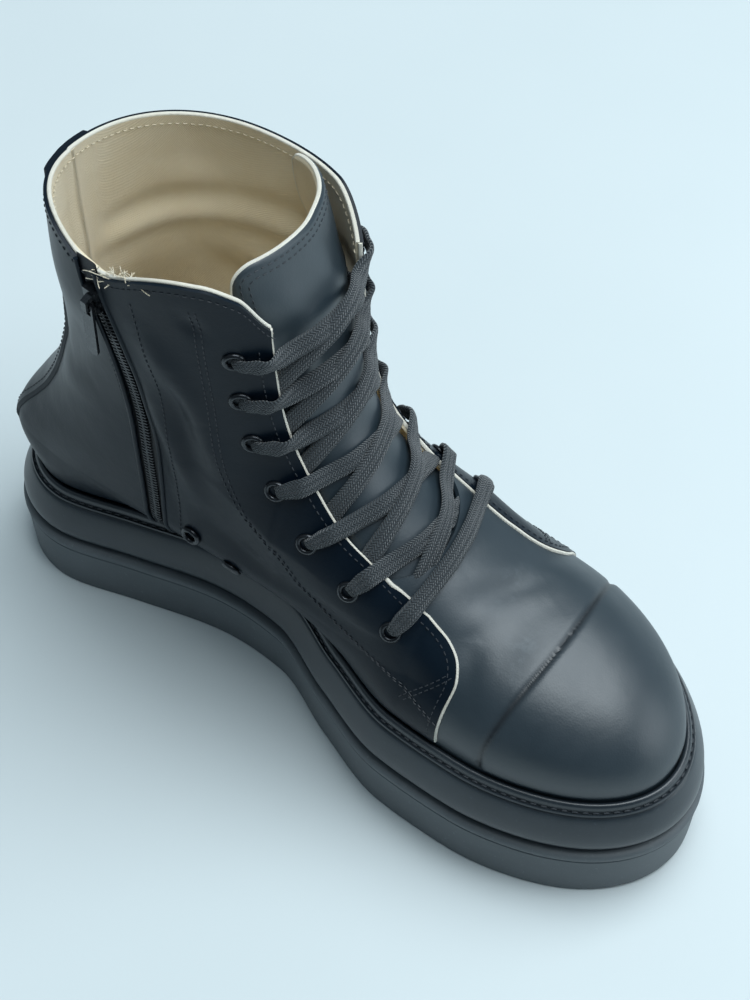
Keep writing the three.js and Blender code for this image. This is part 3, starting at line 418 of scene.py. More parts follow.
def smooth_path(points, step):
    """A curve through given points, with points about a step apart."""
    points = np.asarray(points, float)
    ends = np.vstack([2 * points[0] - points[1], points, 2 * points[-1] - points[-2]])
    made = []
    for a, b, c, d in zip(ends, ends[1:], ends[2:], ends[3:]):
        count = max(int(np.linalg.norm(c - b) / step), 1)
        t = np.arange(count)[:, None] / count
        square = (2 * a - 5 * b + 4 * c - d) * t**2
        cube = (3 * b - a - 3 * c + d) * t**3
        made.append(0.5 * (2 * b + (c - a) * t + square + cube))
    return np.vstack(made + [points[-1:]])


def length_along(points):
    """Distance from a path's start to each of its points."""
    return np.concatenate([[0], np.cumsum(np.linalg.norm(np.diff(points, axis=0), axis=1))])


def even_path(points, step):
    """The same line with its points spaced evenly."""
    points = np.asarray(points, float)
    length = length_along(points)
    wanted = np.linspace(0, length[-1], max(int(round(length[-1] / step)), 1) + 1)
    return np.stack([np.interp(wanted, length, points[:, i]) for i in range(points.shape[1])], 1)


def smooth_lines(path, passes):
    path = path.copy()
    for _ in range(passes):
        path[1:-1] = (path[:-2] + 2 * path[1:-1] + path[2:]) / 4
    return path


# Meshes
def grid_faces(rows, columns, start=0, wrap=False):
    r = np.arange(rows - 1)[:, None]
    c = np.arange(columns if wrap else columns - 1)[None, :]
    n = (c + 1) % columns
    corners = [r * columns + c, r * columns + n, (r + 1) * columns + n, (r + 1) * columns + c]
    return start + np.stack(np.broadcast_arrays(*corners), -1).reshape(-1, 4)


def in_metres(points):
    """The source's millimetres in the frame's metres, with its origin in the middle of the plan."""
    return (np.asarray(points, float) - [PLAN_MIDDLE, 0, 0]) * MM


def in_scene(name, data):
    piece = bpy.data.objects.new(name, data)
    bpy.context.scene.collection.objects.link(piece)
    return piece


def closed_faces(rows, corners):
    """Faces of a tube of rings, with a cap on each end."""
    last = (rows - 1) * corners
    caps = [list(range(corners))[::-1], list(range(last, last + corners))]
    return grid_faces(rows, corners, wrap=True).tolist() + caps


def make(name, points, faces, material, uv=None, marks=None, sharp=SHARP_ANGLE):
    """A piece from points in the source's millimetres."""
    mesh = bpy.data.meshes.new(name)
    mesh.from_pydata(in_metres(points).tolist(), [], [list(map(int, face)) for face in faces])
    if uv is not None:
        layer = mesh.uv_layers.new(name="lay")
        corner = np.zeros(len(mesh.loops), np.int32)
        mesh.loops.foreach_get("vertex_index", corner)
        layer.data.foreach_set("uv", np.asarray(uv, np.float32)[corner].ravel())
    for key, values in (marks or {}).items():
        mark = mesh.attributes.new(key, "FLOAT", "POINT")
        mark.data.foreach_set("value", np.asarray(values, np.float32).ravel())
    work = bmesh.new()
    work.from_mesh(mesh)
    bmesh.ops.recalc_face_normals(work, faces=work.faces)
    work.to_mesh(mesh)
    work.free()
    mesh.shade_smooth()
    mesh.set_sharp_from_angle(angle=math.radians(sharp))
    mesh.materials.append(material)
    piece = in_scene(name, mesh)
    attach(piece, "boot")
    return piece


def lengths(grid):
    """Distances along the rows and columns of a grid, for weaves and grain."""
    across = np.linalg.norm(np.diff(grid, axis=1), axis=2)
    up = np.linalg.norm(np.diff(grid, axis=0), axis=2)
    u = np.concatenate([np.zeros((len(grid), 1)), np.cumsum(across, 1)], 1)
    u -= u.mean(1, keepdims=True)
    v = np.concatenate([np.zeros((1, grid.shape[1])), np.cumsum(up, 0)], 0)
    return np.stack([u, v], -1).reshape(-1, 2)


def shell(name, outer, inner, material, marks=None):
    """A closed sheet between two grids of points."""
    rows, columns = outer.shape[:2]
    count = rows * columns
    front = grid_faces(rows, columns)
    back = grid_faces(rows, columns, count)[:, ::-1]
    border = np.concatenate([
        np.arange(columns),
        np.arange(1, rows) * columns + columns - 1,
        np.arange(columns - 2, -1, -1) + (rows - 1) * columns,
        np.arange(rows - 2, 0, -1) * columns,
    ])
    after = np.roll(border, -1)
    rim = np.stack([after, border, border + count, after + count], 1)
    points = np.concatenate([outer.reshape(-1, 3), inner.reshape(-1, 3)])
    uv = np.concatenate([lengths(outer), lengths(inner)])
    doubled = {
        key: np.concatenate([value.ravel(), np.zeros(count)])
        for key, value in (marks or {}).items()
    }
    return make(name, points, np.concatenate([front, back, rim]), material, uv=uv, marks=doubled)


def sweep(path, outs, profile):
    """Points and faces of a closed profile carried along a path that has its own outward directions."""
    sides = path_sides(path, outs)
    rings = path[:, None] + sides[:, None] * profile[None, :, :1] + outs[:, None] * profile[None, :, 1:2]
    return rings.reshape(-1, 3), closed_faces(*rings.shape[:2])


def round_profile(width, height, corners=10, power=1.0, power_up=None):
    """An oval outline, squarer the lower its powers are."""
    angle = 2 * np.pi * np.arange(corners) / corners
    across = np.cos(angle)
    up = np.sin(angle)
    across = np.sign(across) * np.abs(across) ** power
    up = np.sign(up) * np.abs(up) ** (power_up or power)
    return np.stack([across * width / 2, up * height / 2], 1)


def joined(parts):
    points = []
    faces = []
    start = 0
    for some_points, some_faces in parts:
        points.append(some_points)
        faces += [[start + i for i in face] for face in some_faces]
        start += len(some_points)
    return np.concatenate(points), faces


def path_sides(path, outs):
    run = unit(np.gradient(path, axis=0))
    return unit(np.cross(run, outs))


def swept_piece(name, parts, material):
    points, faces = joined(parts)
    return make(name, points, faces, material)


STITCH_SHAPE = round_profile(1, 1, 6)
STITCH_ENDS = table("run width rise", [
    (-0.5, 0.35, -0.3),
    (-0.36, 0.9, 0.3),
    (0.0, 1.0, 0.5),
    (0.36, 0.9, 0.3),
    (0.5, 0.35, -0.3),
])


def stitch_row(path, outs, length=1.7, gap=0.9, width=0.45, sink=0.06):
    """Short raised threads along a line on a surface."""
    line = even_path(np.concatenate([path, outs], 1), length + gap)
    run = np.diff(line[:, :3], axis=0)
    out = unit(line[:-1, 3:] + line[1:, 3:])
    middle = (line[:-1, :3] + line[1:, :3]) / 2
    run = unit(run)
    side = np.cross(run, out)
    parts = []
    for m, r, s, o in zip(middle, run, side, out):
        shape = STITCH_SHAPE[:, :1] * s + STITCH_SHAPE[:, 1:] * o
        rings = [
            m + r * length * a + shape * width * b + o * (width * c - sink)
            for a, b, c in zip(*STITCH_ENDS.values())
        ]
        parts.append((np.concatenate(rings), closed_faces(len(rings), len(STITCH_SHAPE))))
    return joined(parts)


# Materials
class Look:
    """A material and short ways to add nodes to it."""

    def __init__(self, name, **values):
        self.material = bpy.data.materials.new(name)
        self.material.use_nodes = True
        self.tree = self.material.node_tree
        self.shader = self.tree.nodes["Principled BSDF"]
        for key, value in values.items():
            self.shader.inputs[key.replace("_", " ")].default_value = value
        self.place = self.add("ShaderNodeTexCoord").outputs["Object"]

    def add(self, kind, settings=None, **inputs):
        """A node with its settings and inputs, which are named, or numbered as i0, i1 and so on."""
        node = self.tree.nodes.new(kind)
        for key, value in (settings or {}).items():
            setattr(node, key, value)
        for key, value in inputs.items():
            numbered = key[0] == "i" and key[1:].isdigit()
            socket = node.inputs[int(key[1:]) if numbered else key]
            if isinstance(value, bpy.types.NodeSocket):
                self.tree.links.new(value, socket)
            else:
                socket.default_value = value
        return node

    def noise(self, scale, detail=3, rough=0.55):
        facts = {"Vector": self.place, "Scale": scale, "Detail": detail, "Roughness": rough}
        return self.add("ShaderNodeTexNoise", **facts).outputs["Fac"]

    def cells(self, scale):
        return self.add("ShaderNodeTexVoronoi", Vector=self.place, Scale=scale).outputs["Distance"]

    def ramp(self, value, low, high, low_value=0.0, high_value=1.0):
        node = self.add("ShaderNodeMapRange", i0=value, i1=low, i2=high, i3=low_value, i4=high_value)
        return node.outputs[0]

    def math(self, kind, a, b=0.0):
        return self.add("ShaderNodeMath", {"operation": kind}, i0=a, i1=b).outputs[0]

    def times(self, a, b):
        return self.math("MULTIPLY", a, b)

    def colour(self, share, a, b):
        node = self.add("ShaderNodeMix", {"data_type": "RGBA"}, i0=share)
        for i, value in ((6, a), (7, b)):
            if isinstance(value, bpy.types.NodeSocket):
                self.tree.links.new(value, node.inputs[i])
            else:
                node.inputs[i].default_value = (*value, 1)
        return node.outputs[2]

    def mark(self, name):
        return self.add("ShaderNodeAttribute", {"attribute_name": name}).outputs["Fac"]

    def lay(self):
        return self.add("ShaderNodeUVMap", {"uv_map": "lay"}).outputs["UV"]

    def bump(self, *layers):
        normal = None
        for height, strength, distance in layers:
            node = self.add("ShaderNodeBump", Height=height, Strength=strength, Distance=distance)
            if normal is not None:
                self.tree.links.new(normal, node.inputs["Normal"])
            normal = node.outputs["Normal"]
        self.link(normal, "Normal")

    def link(self, socket, name):
        self.tree.links.new(socket, self.shader.inputs[name])


def leather_look(name, dark, light, shine, rough=0.36):
    look = Look(name, Specular_IOR_Level=shine, Coat_Weight=0.03, Coat_Roughness=0.26)
    broad = look.noise(22, 4, 0.6)
    grain = look.cells(1500)
    pores = look.noise(2600, 2)
    soft = look.noise(70, 3)
    base = look.colour(look.ramp(broad, 0.35, 0.7), dark, light)
    dust = look.ramp(look.noise(420, 6, 0.72), 0.66, 0.8)
    patches = look.ramp(look.noise(34, 3), 0.5, 0.72)
    worn = look.colour(look.times(look.times(dust, patches), 0.14), base, (0.16, 0.19, 0.21))
    scuff = look.mark("scuff")
    streaks = look.ramp(look.noise(190, 5, 0.7), 0.47, 0.75, 0.0, 0.2)
    rubbed = look.colour(look.times(scuff, streaks), worn, (0.26, 0.31, 0.34))
    # Near-black painted shade in the toe-cap seam's groove.
    seam_painted_shade = look.mark("seam_painted_shade")
    look.link(look.colour(look.times(seam_painted_shade, 0.85), rubbed, (0.004, 0.006, 0.009)), "Base Color")
    uneven = look.ramp(broad, 0.3, 0.75, rough - 0.04, rough + 0.07)
    look.link(look.math("ADD", uneven, look.times(scuff, 0.15)), "Roughness")
    look.bump((soft, 0.25, 0.0009), (grain, 0.16, 0.00012), (pores, 0.1, 0.00006))
    return look.material


def canvas_look(name, base, stain, pitch=0.75):
    """Plain woven cloth, its threads laid by the piece's own lengths."""
    look = Look(name, Specular_IOR_Level=0.2, Sheen_Weight=0.25)
    split = look.add("ShaderNodeSeparateXYZ", Vector=look.lay())
    turn = 2 * math.pi / pitch
    warp = look.math("SINE", look.times(split.outputs["X"], turn))
    weft = look.math("SINE", look.times(split.outputs["Y"], turn))
    weave = look.times(warp, weft)
    fuzz = look.noise(1800, 3)
    broad = look.noise(38, 5, 0.62)
    threads = look.colour(look.ramp(weave, -1, 1, 0.0, 0.35), base, tuple(v * 0.62 for v in base))
    stained = look.colour(look.ramp(broad, 0.42, 0.75, 0.0, 0.7), threads, stain)
    deep = look.mark("shade")
    shaded = look.colour(look.times(deep, 0.55), stained, tuple(v * 0.4 for v in stain))
    look.link(shaded, "Base Color")
    look.link(look.ramp(fuzz, 0.2, 0.8, 0.82, 0.98), "Roughness")
    look.bump((broad, 0.35, 0.0012), (weave, 0.5, 0.00022), (fuzz, 0.35, 0.00015))
    return look.material


def rubber_look(name, base, dust, rough, gloss=0.4):
    look = Look(name, Specular_IOR_Level=gloss)
    broad = look.noise(26, 5, 0.65)
    fine = look.noise(1300, 3)
    speck = look.ramp(look.noise(520, 4, 0.75), 0.6, 0.78)
    mixed = look.colour(look.ramp(broad, 0.4, 0.75, 0.0, 0.75), base, dust)
    pale = tuple(min(v * 2.2, 1) for v in dust)
    look.link(look.colour(look.times(speck, 0.35), mixed, pale), "Base Color")
    look.link(look.ramp(broad, 0.3, 0.7, rough - 0.06, rough + 0.08), "Roughness")
    look.bump((broad, 0.2, 0.0006), (fine, 0.28, 0.00012))
    return look.material


def lace_look():
    """A flat tubular braid: slanting ribs that meet in chevrons down the lace."""
    look = Look("lace_braid", Specular_IOR_Level=0.25, Sheen_Weight=0.3)
    split = look.add("ShaderNodeSeparateXYZ", Vector=look.lay())
    across = split.outputs["X"]
    sawtooth = look.math("FRACT", look.times(across, 0.45))
    fold = look.math("ABSOLUTE", look.math("SUBTRACT", sawtooth, 0.5))
    slant = look.math("ADD", split.outputs["Y"], look.times(fold, 2.6))
    rib = look.math("SINE", look.times(slant, 2 * math.pi / 1.15))
    column = look.math("SINE", look.times(across, 2 * math.pi * 0.9))
    fuzz = look.noise(1500, 4, 0.7)
    # Painted highlight on the ribs' crests and painted shade in their troughs, following the rib bump.
    rib_painted_light_and_shade = look.colour(look.ramp(rib, -1, 1), (0.009, 0.013, 0.017), (0.036, 0.047, 0.055))
    look.link(look.colour(look.ramp(fuzz, 0.35, 0.75, 0.0, 0.35), rib_painted_light_and_shade, (0.06, 0.07, 0.078)), "Base Color")
    look.link(look.ramp(fuzz, 0.2, 0.8, 0.66, 0.9), "Roughness")
    look.bump((rib, 0.75, 0.00035), (column, 0.4, 0.0002), (fuzz, 0.3, 0.0001))
    return look.material


def thread_look(name, base, light):
    look = Look(name, Specular_IOR_Level=0.4)
    twist = look.noise(2400, 2)
    look.link(look.colour(twist, base, light), "Base Color")
    look.link(look.ramp(twist, 0.2, 0.8, 0.4, 0.7), "Roughness")
    look.bump((twist, 0.4, 0.0001))
    return look.material


def metal_look(name, base, rough):
    look = Look(name, Metallic=0.75, Specular_IOR_Level=0.6, Coat_Weight=0.4, Coat_Roughness=0.12)
    wear = look.noise(600, 4, 0.7)
    bare = tuple(min(v * 5, 0.5) for v in base)
    look.link(look.colour(look.ramp(wear, 0.6, 0.8), base, bare), "Base Color")
    look.link(look.ramp(wear, 0.3, 0.8, rough - 0.05, rough + 0.12), "Roughness")
    look.bump((wear, 0.15, 0.00008))
    return look.material


LEATHER = leather_look("leather_blue_black", (0.0016, 0.0055, 0.0115), (0.0035, 0.0095, 0.017), 0.17)
# The same blue-black leather with a glossier surface and its colour painted several times lighter: painted
# light on the vamp, toe cap and tongue, which face the lamps.
GLOSSY_PAINTED_LIT_LEATHER = leather_look(
    "leather_blue_black_glossy_painted_lit", (0.013, 0.024, 0.033), (0.021, 0.034, 0.045), 0.8, 0.42
)
PIPING = canvas_look("raw_edge_cream", (0.8, 0.77, 0.68), (0.66, 0.6, 0.48), 0.5)
CANVAS = canvas_look("canvas_lining", (0.86, 0.75, 0.55), (0.72, 0.59, 0.38))
FRAY = canvas_look("frayed_canvas", (0.82, 0.74, 0.58), (0.66, 0.56, 0.38), 0.5)
RUBBER = rubber_look("outsole_rubber", (0.085, 0.1, 0.11), (0.13, 0.148, 0.16), 0.55)
BAND = rubber_look("midsole_band", (0.018, 0.026, 0.034), (0.034, 0.045, 0.055), 0.34, 0.6)
WELT = rubber_look("storm_welt", (0.015, 0.022, 0.029), (0.028, 0.037, 0.045), 0.34, 0.65)
LACE = lace_look()
THREAD = thread_look("leather_thread", (0.012, 0.015, 0.02), (0.05, 0.058, 0.068))
PALE_THREAD = thread_look("canvas_thread", (0.5, 0.43, 0.3), (0.68, 0.6, 0.46))
TAPE = thread_look("zip_tape_cloth", (0.008, 0.009, 0.011), (0.02, 0.022, 0.026))
METAL = metal_look("black_enamel", (0.02, 0.023, 0.028), 0.28)

# The upper's creases: start and end by distance from the heel end and height
SIDE_CREASES = table("side along level along_to level_to width depth", [
    (INNER, 88, 190, 106, 150, 6.0, 2.0),
    (INNER, 106, 150, 112, 122, 5.0, 1.6),
    (INNER, 88, 150, 101, 104, 5.0, 1.7),
    (INNER, 96, 172, 100, 128, 4.0, -1.5),
    (INNER, 80, 165, 92, 84, 3.6, -1.4),
    (INNER, 103, 205, 108, 196, 3.0, -1.0),
    (INNER, 62, 176, 44, 140, 6.5, -1.7),
    (INNER, 60, 140, 36, 118, 6.0, 1.0),
    (INNER, 100, 96, 128, 84, 5.0, -0.7),
    (OUTER, 60, 150, 100, 132, 8.0, -1.6),
    (OUTER, 56, 136, 104, 116, 6.0, 2.0),
    (OUTER, 50, 120, 92, 100, 6.5, -1.7),
    (OUTER, 92, 176, 112, 150, 7.0, 1.0),
    (OUTER, 118, 104, 150, 92, 5.5, -0.9),
    (OUTER, 130, 92, 168, 80, 5.0, 0.8),
    (OUTER, 40, 178, 62, 168, 7.0, -0.9),
])
VAMP_CREASES = table("along across along_to across_to width depth", [
    (198, -14, 213, 14, 4.2, -0.8),
    (203, -28, 221, 8, 4.4, -0.7),
    (194, -6, 206, 16, 4.0, 0.55),
    (208, -20, 218, 6, 4.0, 0.5),
    (204, 14, 213, 34, 4.4, -0.6),
    (214, -38, 206, -22, 4.2, -0.6),
    (186, -10, 190, 12, 4.0, -0.6),
])


def folds(rows, first, second, a, b):
    """Soft troughs and ridges along short lines in two coordinates."""
    total = np.zeros(np.shape(a))
    for i in range(len(rows["depth"])):
        start = np.array([rows[first][i], rows[second][i]])
        run = np.array([rows[first + "_to"][i], rows[second + "_to"][i]]) - start
        share = np.clip(((a - start[0]) * run[0] + (b - start[1]) * run[1]) / (run @ run), 0, 1)
        gap = np.hypot(a - start[0] - share * run[0], b - start[1] - share * run[1])
        taper = 0.3 + 0.7 * np.sin(np.pi * share)
        total += rows["depth"][i] * taper * hump(gap, 0, rows["width"][i])
    return total


SLOW_WAVE = 0.28
CALM_ABOVE_BEAD = 4
CALM_OVER = 14


def creases(points, side):
    """How far worn leather stands in or out at each point."""
    along = SOLE_LENGTH / 2 - points[..., 1]
    level = points[..., 2]
    keep = SIDE_CREASES["side"] == side
    rows = {key: values[keep] for key, values in SIDE_CREASES.items()}
    slow = SLOW_WAVE * np.sin(along / 15 + 1.4 * np.sin(level / 21)) * np.sin(level / 17 + side)
    calm = ease((level - BEAD_TOP - CALM_ABOVE_BEAD) / CALM_OVER)
    return (folds(rows, "along", "level", along, level) + slow) * calm


# The upper's panels
BEAD_BLEND = 2.5


def creases_by_side(points):
    return np.where(points[..., 0] > 0, creases(points, OUTER), creases(points, INNER))


def above_bead(points):
    """How fully a layer stands out from the face: nothing at the welt's bead, all of it just above."""
    return ease((points[..., 2] - BEAD_TOP - GAP) / BEAD_BLEND)


COLLAR_BLEND_FROM = 0.6


def collar_rise(turn, rise):
    """Rises stretched so that the topmost row follows the collar's line."""
    rim = surface(turn, 1.0)
    extra = rise_at(collar_level(rim[..., 0], rim[..., 1])) - 1
    return rise + extra * ease((rise - COLLAR_BLEND_FROM) / (1 - COLLAR_BLEND_FROM))


ROWS = np.concatenate([
    np.linspace(0, 0.14, 16)[:-1], np.linspace(0.14, 0.34, 56)[:-1], np.linspace(0.34, 1, 84),
])


def spread(start, end, columns):
    """Turns across each row, from its start to its end."""
    share = np.linspace(0, 1, columns)
    return np.asarray(start)[:, None] + (np.asarray(end) - np.asarray(start))[:, None] * share[None, :]


def quarter_reach(side, rises):
    """The quarter's front edge, its corners softened over a few rows."""
    along = throat_along(side, rises)
    if len(along) > 60:
        along = smooth_lines(along, 14)
    return along


def throat_turn(side, rises):
    turn = turn_at(side, quarter_reach(side, rises), rises)
    return turn if side > 0 else turn - 2


def zip_turn(rises, shift):
    """The zip slot's edge on the inner side, counted back from the heel."""
    along = read(ZIP_LINE, "height", "station", rises) * SOLE_LENGTH + shift
    return turn_at(INNER, along, rises) - 2


QUARTER_THICK = 1.3


def quarter_lift(points, side):
    return QUARTER_STEP + creases(points, side)


def panel_grid(turn, rows):
    """Points and outward directions of the face up to the collar, by the turns along each row."""
    turn = np.mod(turn, 2)
    rise = collar_rise(turn, np.repeat(rows[:, None], turn.shape[1], 1))
    return surface(turn, rise), normals(turn, rise)


def layer(base, out, lift):
    return base + out * lift[..., None]


def quarter(name, side, start, end, columns):
    """A leather quarter as a step over the base face, between two lines."""
    base, out = panel_grid(spread(start, end, columns), ROWS)
    lift = quarter_lift(base, side) * above_bead(base)
    piece = shell(name, layer(base, out, lift), layer(base, out, lift - QUARTER_THICK), LEATHER)
    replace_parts(piece, "upper")


def edge_line(side, rises):
    """The quarter's throat edge, with its outward directions."""
    turn = np.mod(throat_turn(side, rises), 2)
    rise = collar_rise(turn, rises)
    return surface(turn, rise), normals(turn, rise)


def collar_ends():
    """The collar's turns at the outer and inner throat edge."""
    return [float(throat_turn(side, np.array([1.0]))[0]) for side in (OUTER, INNER)]


def collar_line(start, end, count):
    turn = np.mod(np.linspace(start, end, count), 2)
    rise = collar_rise(turn, np.ones(count))
    return surface(turn, rise), normals(turn, rise)


def upper_panels():
    """Three quarters: the outer one, and the inner one on both sides of the zip."""
    outer_edge = throat_turn(OUTER, ROWS)
    inner_edge = throat_turn(INNER, ROWS)
    half = ZIP_SLOT / 2
    back = np.zeros(len(ROWS))
    quarter("quarter_outer", OUTER, back, outer_edge, 190)
    quarter("quarter_inner_back", INNER, back, zip_turn(ROWS, -half), 60)
    quarter("quarter_inner_front", INNER, zip_turn(ROWS, half), inner_edge, 130)


VAMP_REAR = 0.545
VAMP_EDGE = 0.63
TOE_SEAM = 0.79


CAP_STEP = 0.6
SEAM_DEPTH = 0.7
SEAM_PLACE = -0.4


def toe_seam_along(x):
    """The toe-cap line: nearly straight across, a little further back at the sides."""
    return TOE_SEAM * SOLE_LENGTH + 3.2 - 6.5 * (np.abs(x + 3) / 44) ** 2 + 0.04 * x


def vamp():
    """The vamp and toe cap as one skin, its rows a millimetre apart along the ridge."""
    ridge_rows = np.linspace(0.05, 0.44, 500)
    ridge = np.stack([front_at(ridge_rows), level_at(ridge_rows)], 1)
    length = length_along(ridge)
    above = np.interp(np.arange(0, length[-1], 1.0), length, ridge_rows)
    rises = np.concatenate([np.linspace(0, 0.048, 8), above])
    rises = rises[front_at(rises) > VAMP_EDGE * SOLE_LENGTH]
    rear = np.full(len(rises), VAMP_REAR * SOLE_LENGTH)
    columns = 341
    turn = spread(turn_at(OUTER, rear, rises), turn_at(INNER, rear, rises), columns)
    rise = np.repeat(rises[:, None], columns, 1)
    base = relaxed(surface(turn, rise), 40)
    out = grid_normals(base, normals(turn, rise))
    along = SOLE_LENGTH / 2 - base[..., 1]
    x = base[..., 0]
    grow = above_bead(base)
    ahead = along - toe_seam_along(x)
    cap = CAP_STEP * ease(ahead + 0.5)
    groove = -SEAM_DEPTH * hump(ahead, SEAM_PLACE, 1.3)
    top = ease((base[..., 2] - 62) / 14)
    worn = folds(VAMP_CREASES, "along", "across", along, x) * top
    slow = 0.16 * np.sin(along / 9 + x / 17) * np.sin(x / 13 + 0.6) * top
    lift = (cap + groove + worn + slow) * grow
    # Painted shade: the leather darkened along the toe-cap seam's groove, where the groove above dips in.
    seam_painted_shade = hump(ahead, SEAM_PLACE, 1.1) * grow
    scuff = hump(along, 222, 5.5) * hump(x, -16, 9)
    scuff += 0.7 * hump(along, 206, 4) * hump(x, 2, 12)
    marks = {"seam_painted_shade": seam_painted_shade, "scuff": scuff}
    # The vamp and toe cap take the leather copy whose colour is painted lighter as painted light.
    piece = shell("vamp", layer(base, out, lift), layer(base, out, lift - WALL), GLOSSY_PAINTED_LIT_LEATHER, marks)
    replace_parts(piece, "upper")


LINING_THICK = 1.25
SAG_LEVEL = 150


def lining():
    """Canvas inside the quarters, from throat edge to throat edge by the heel."""
    rows = np.linspace(0.02, 1, 110)
    base, out = panel_grid(spread(throat_turn(OUTER, rows), throat_turn(INNER, rows), 320), rows)
    along = SOLE_LENGTH / 2 - base[..., 1]
    x = base[..., 0]
    slanted = base[..., 2] - 0.12 * along
    sag = (1.1 * hump(slanted, 159, 5) - 1.6 * hump(slanted, SAG_LEVEL, 4.5)) * ease((x - 2) / 18)
    seam_painted_shade = hump(x, 1.5, 0.8) * (along < 90)
    shade = np.clip(seam_painted_shade + 0.4 * hump(slanted, SAG_LEVEL, 2.2) * (x > 4), 0, 1)
    from_zip = along - read(ZIP_LINE, "height", "station", rise_at(base[..., 2])) * SOLE_LENGTH
    lift = creases_by_side(base) * above_bead(base) - 0.25 - hump(from_zip, 0, 7) * (x < 0)
    inner = layer(base, out, lift - LINING_THICK + sag - 0.5 * seam_painted_shade)
    shell("canvas_lining", inner, layer(base, out, lift), CANVAS, {"shade": shade})


EDGE_WIDTH = 1.5
EDGE_STEP = 1.2


def stepped(line, out, step=EDGE_STEP):
    """A line with its outward directions, its points spaced evenly."""
    path = even_path(np.concatenate([line, out], 1), step)
    return path[:, :3], path[:, 3:]


def edge_bindings():
    """The raw cream edge that shows along the collar and down both throat edges."""
    parts = []
    profile = round_profile(EDGE_WIDTH, EDGE_WIDTH, 10, 0.8)
    rises = np.concatenate([np.linspace(1, 0.34, 140)[:-1], np.linspace(0.34, 0.045, 90)])
    for side in (OUTER, INNER):
        line, out = stepped(*edge_line(side, rises))
        worn = creases(line, side) * above_bead(line)
        parts.append(sweep(layer(line, out, worn + 0.1), unit(out), profile))
    line, out = stepped(*collar_line(*collar_ends(), 400))
    middle = layer(line, out, creases_by_side(line) - EDGE_WIDTH / 2) + [0, 0, 0.1]
    parts.append(sweep(middle, unit(out), round_profile(1.3, EDGE_WIDTH, 10, 0.8)))
    points, faces = joined(parts)
    uv = np.stack([points[:, 0] + points[:, 1], points[:, 2]], 1)
    return make("raw_edge_binding", points, faces, PIPING, uv=uv)


# Tongue
TONGUE_EDGE = table("height inner outer", [
    (0.24, 0.22, 0.22),
    (0.45, 0.27, 0.3),
    (0.75, 0.25, 0.41),
    (0.93, 0.2, 0.44),
    (1.1, 0.185, 0.44),
])
TONGUE_CORNER = 9
TONGUE_CLEARANCE = 0.8
TONGUE_FOOT = 0.265
TONGUE_BEND = 160
TONGUE_LEAN = 13.5
TONGUE_OUTER_LEAN = 9.0
TONGUE_THICK = 2.9
TONGUE_ROLL = 0.9
EDGE_FOOT_ROW = 40
STITCH_FOOT_ROW = 70


def tongue_places(rows, columns):
    """Turn and rise of the tongue's grid, its top edge rounded at both corners."""
    share = np.linspace(0, 1, columns)
    turns = np.linspace(0.45, 1.6, 900)
    turn = np.zeros((rows, columns))
    rise = np.zeros((rows, columns))
    inner_top = TONGUE_EDGE["inner"][-1] * BALL_WIDTH
    outer_top = TONGUE_EDGE["outer"][-1] * BALL_WIDTH
    from_edge = np.minimum(share, 1 - share) * (outer_top + inner_top)
    drop = TONGUE_CORNER * (1 - rounded_end(from_edge, TONGUE_CORNER))
    x_top = mix(outer_top, -inner_top, share)
    top = rise_at(TONGUE_TOP - 4 * ease((x_top + 10) / 50) - drop)
    for i in range(rows):
        rise[i] = mix(TONGUE_FOOT, top, i / (rows - 1))
        outer = read(TONGUE_EDGE, "height", "outer", rise[i]) * BALL_WIDTH
        inner = read(TONGUE_EDGE, "height", "inner", rise[i]) * BALL_WIDTH
        x = mix(outer, -inner, share)
        line = surface(turns, np.full(len(turns), rise[i, columns // 2]))
        front = line[:, 1] < station_y(0.335)
        turn[i] = np.interp(-x, -line[front, 0], turns[front])
    return turn, rise, share


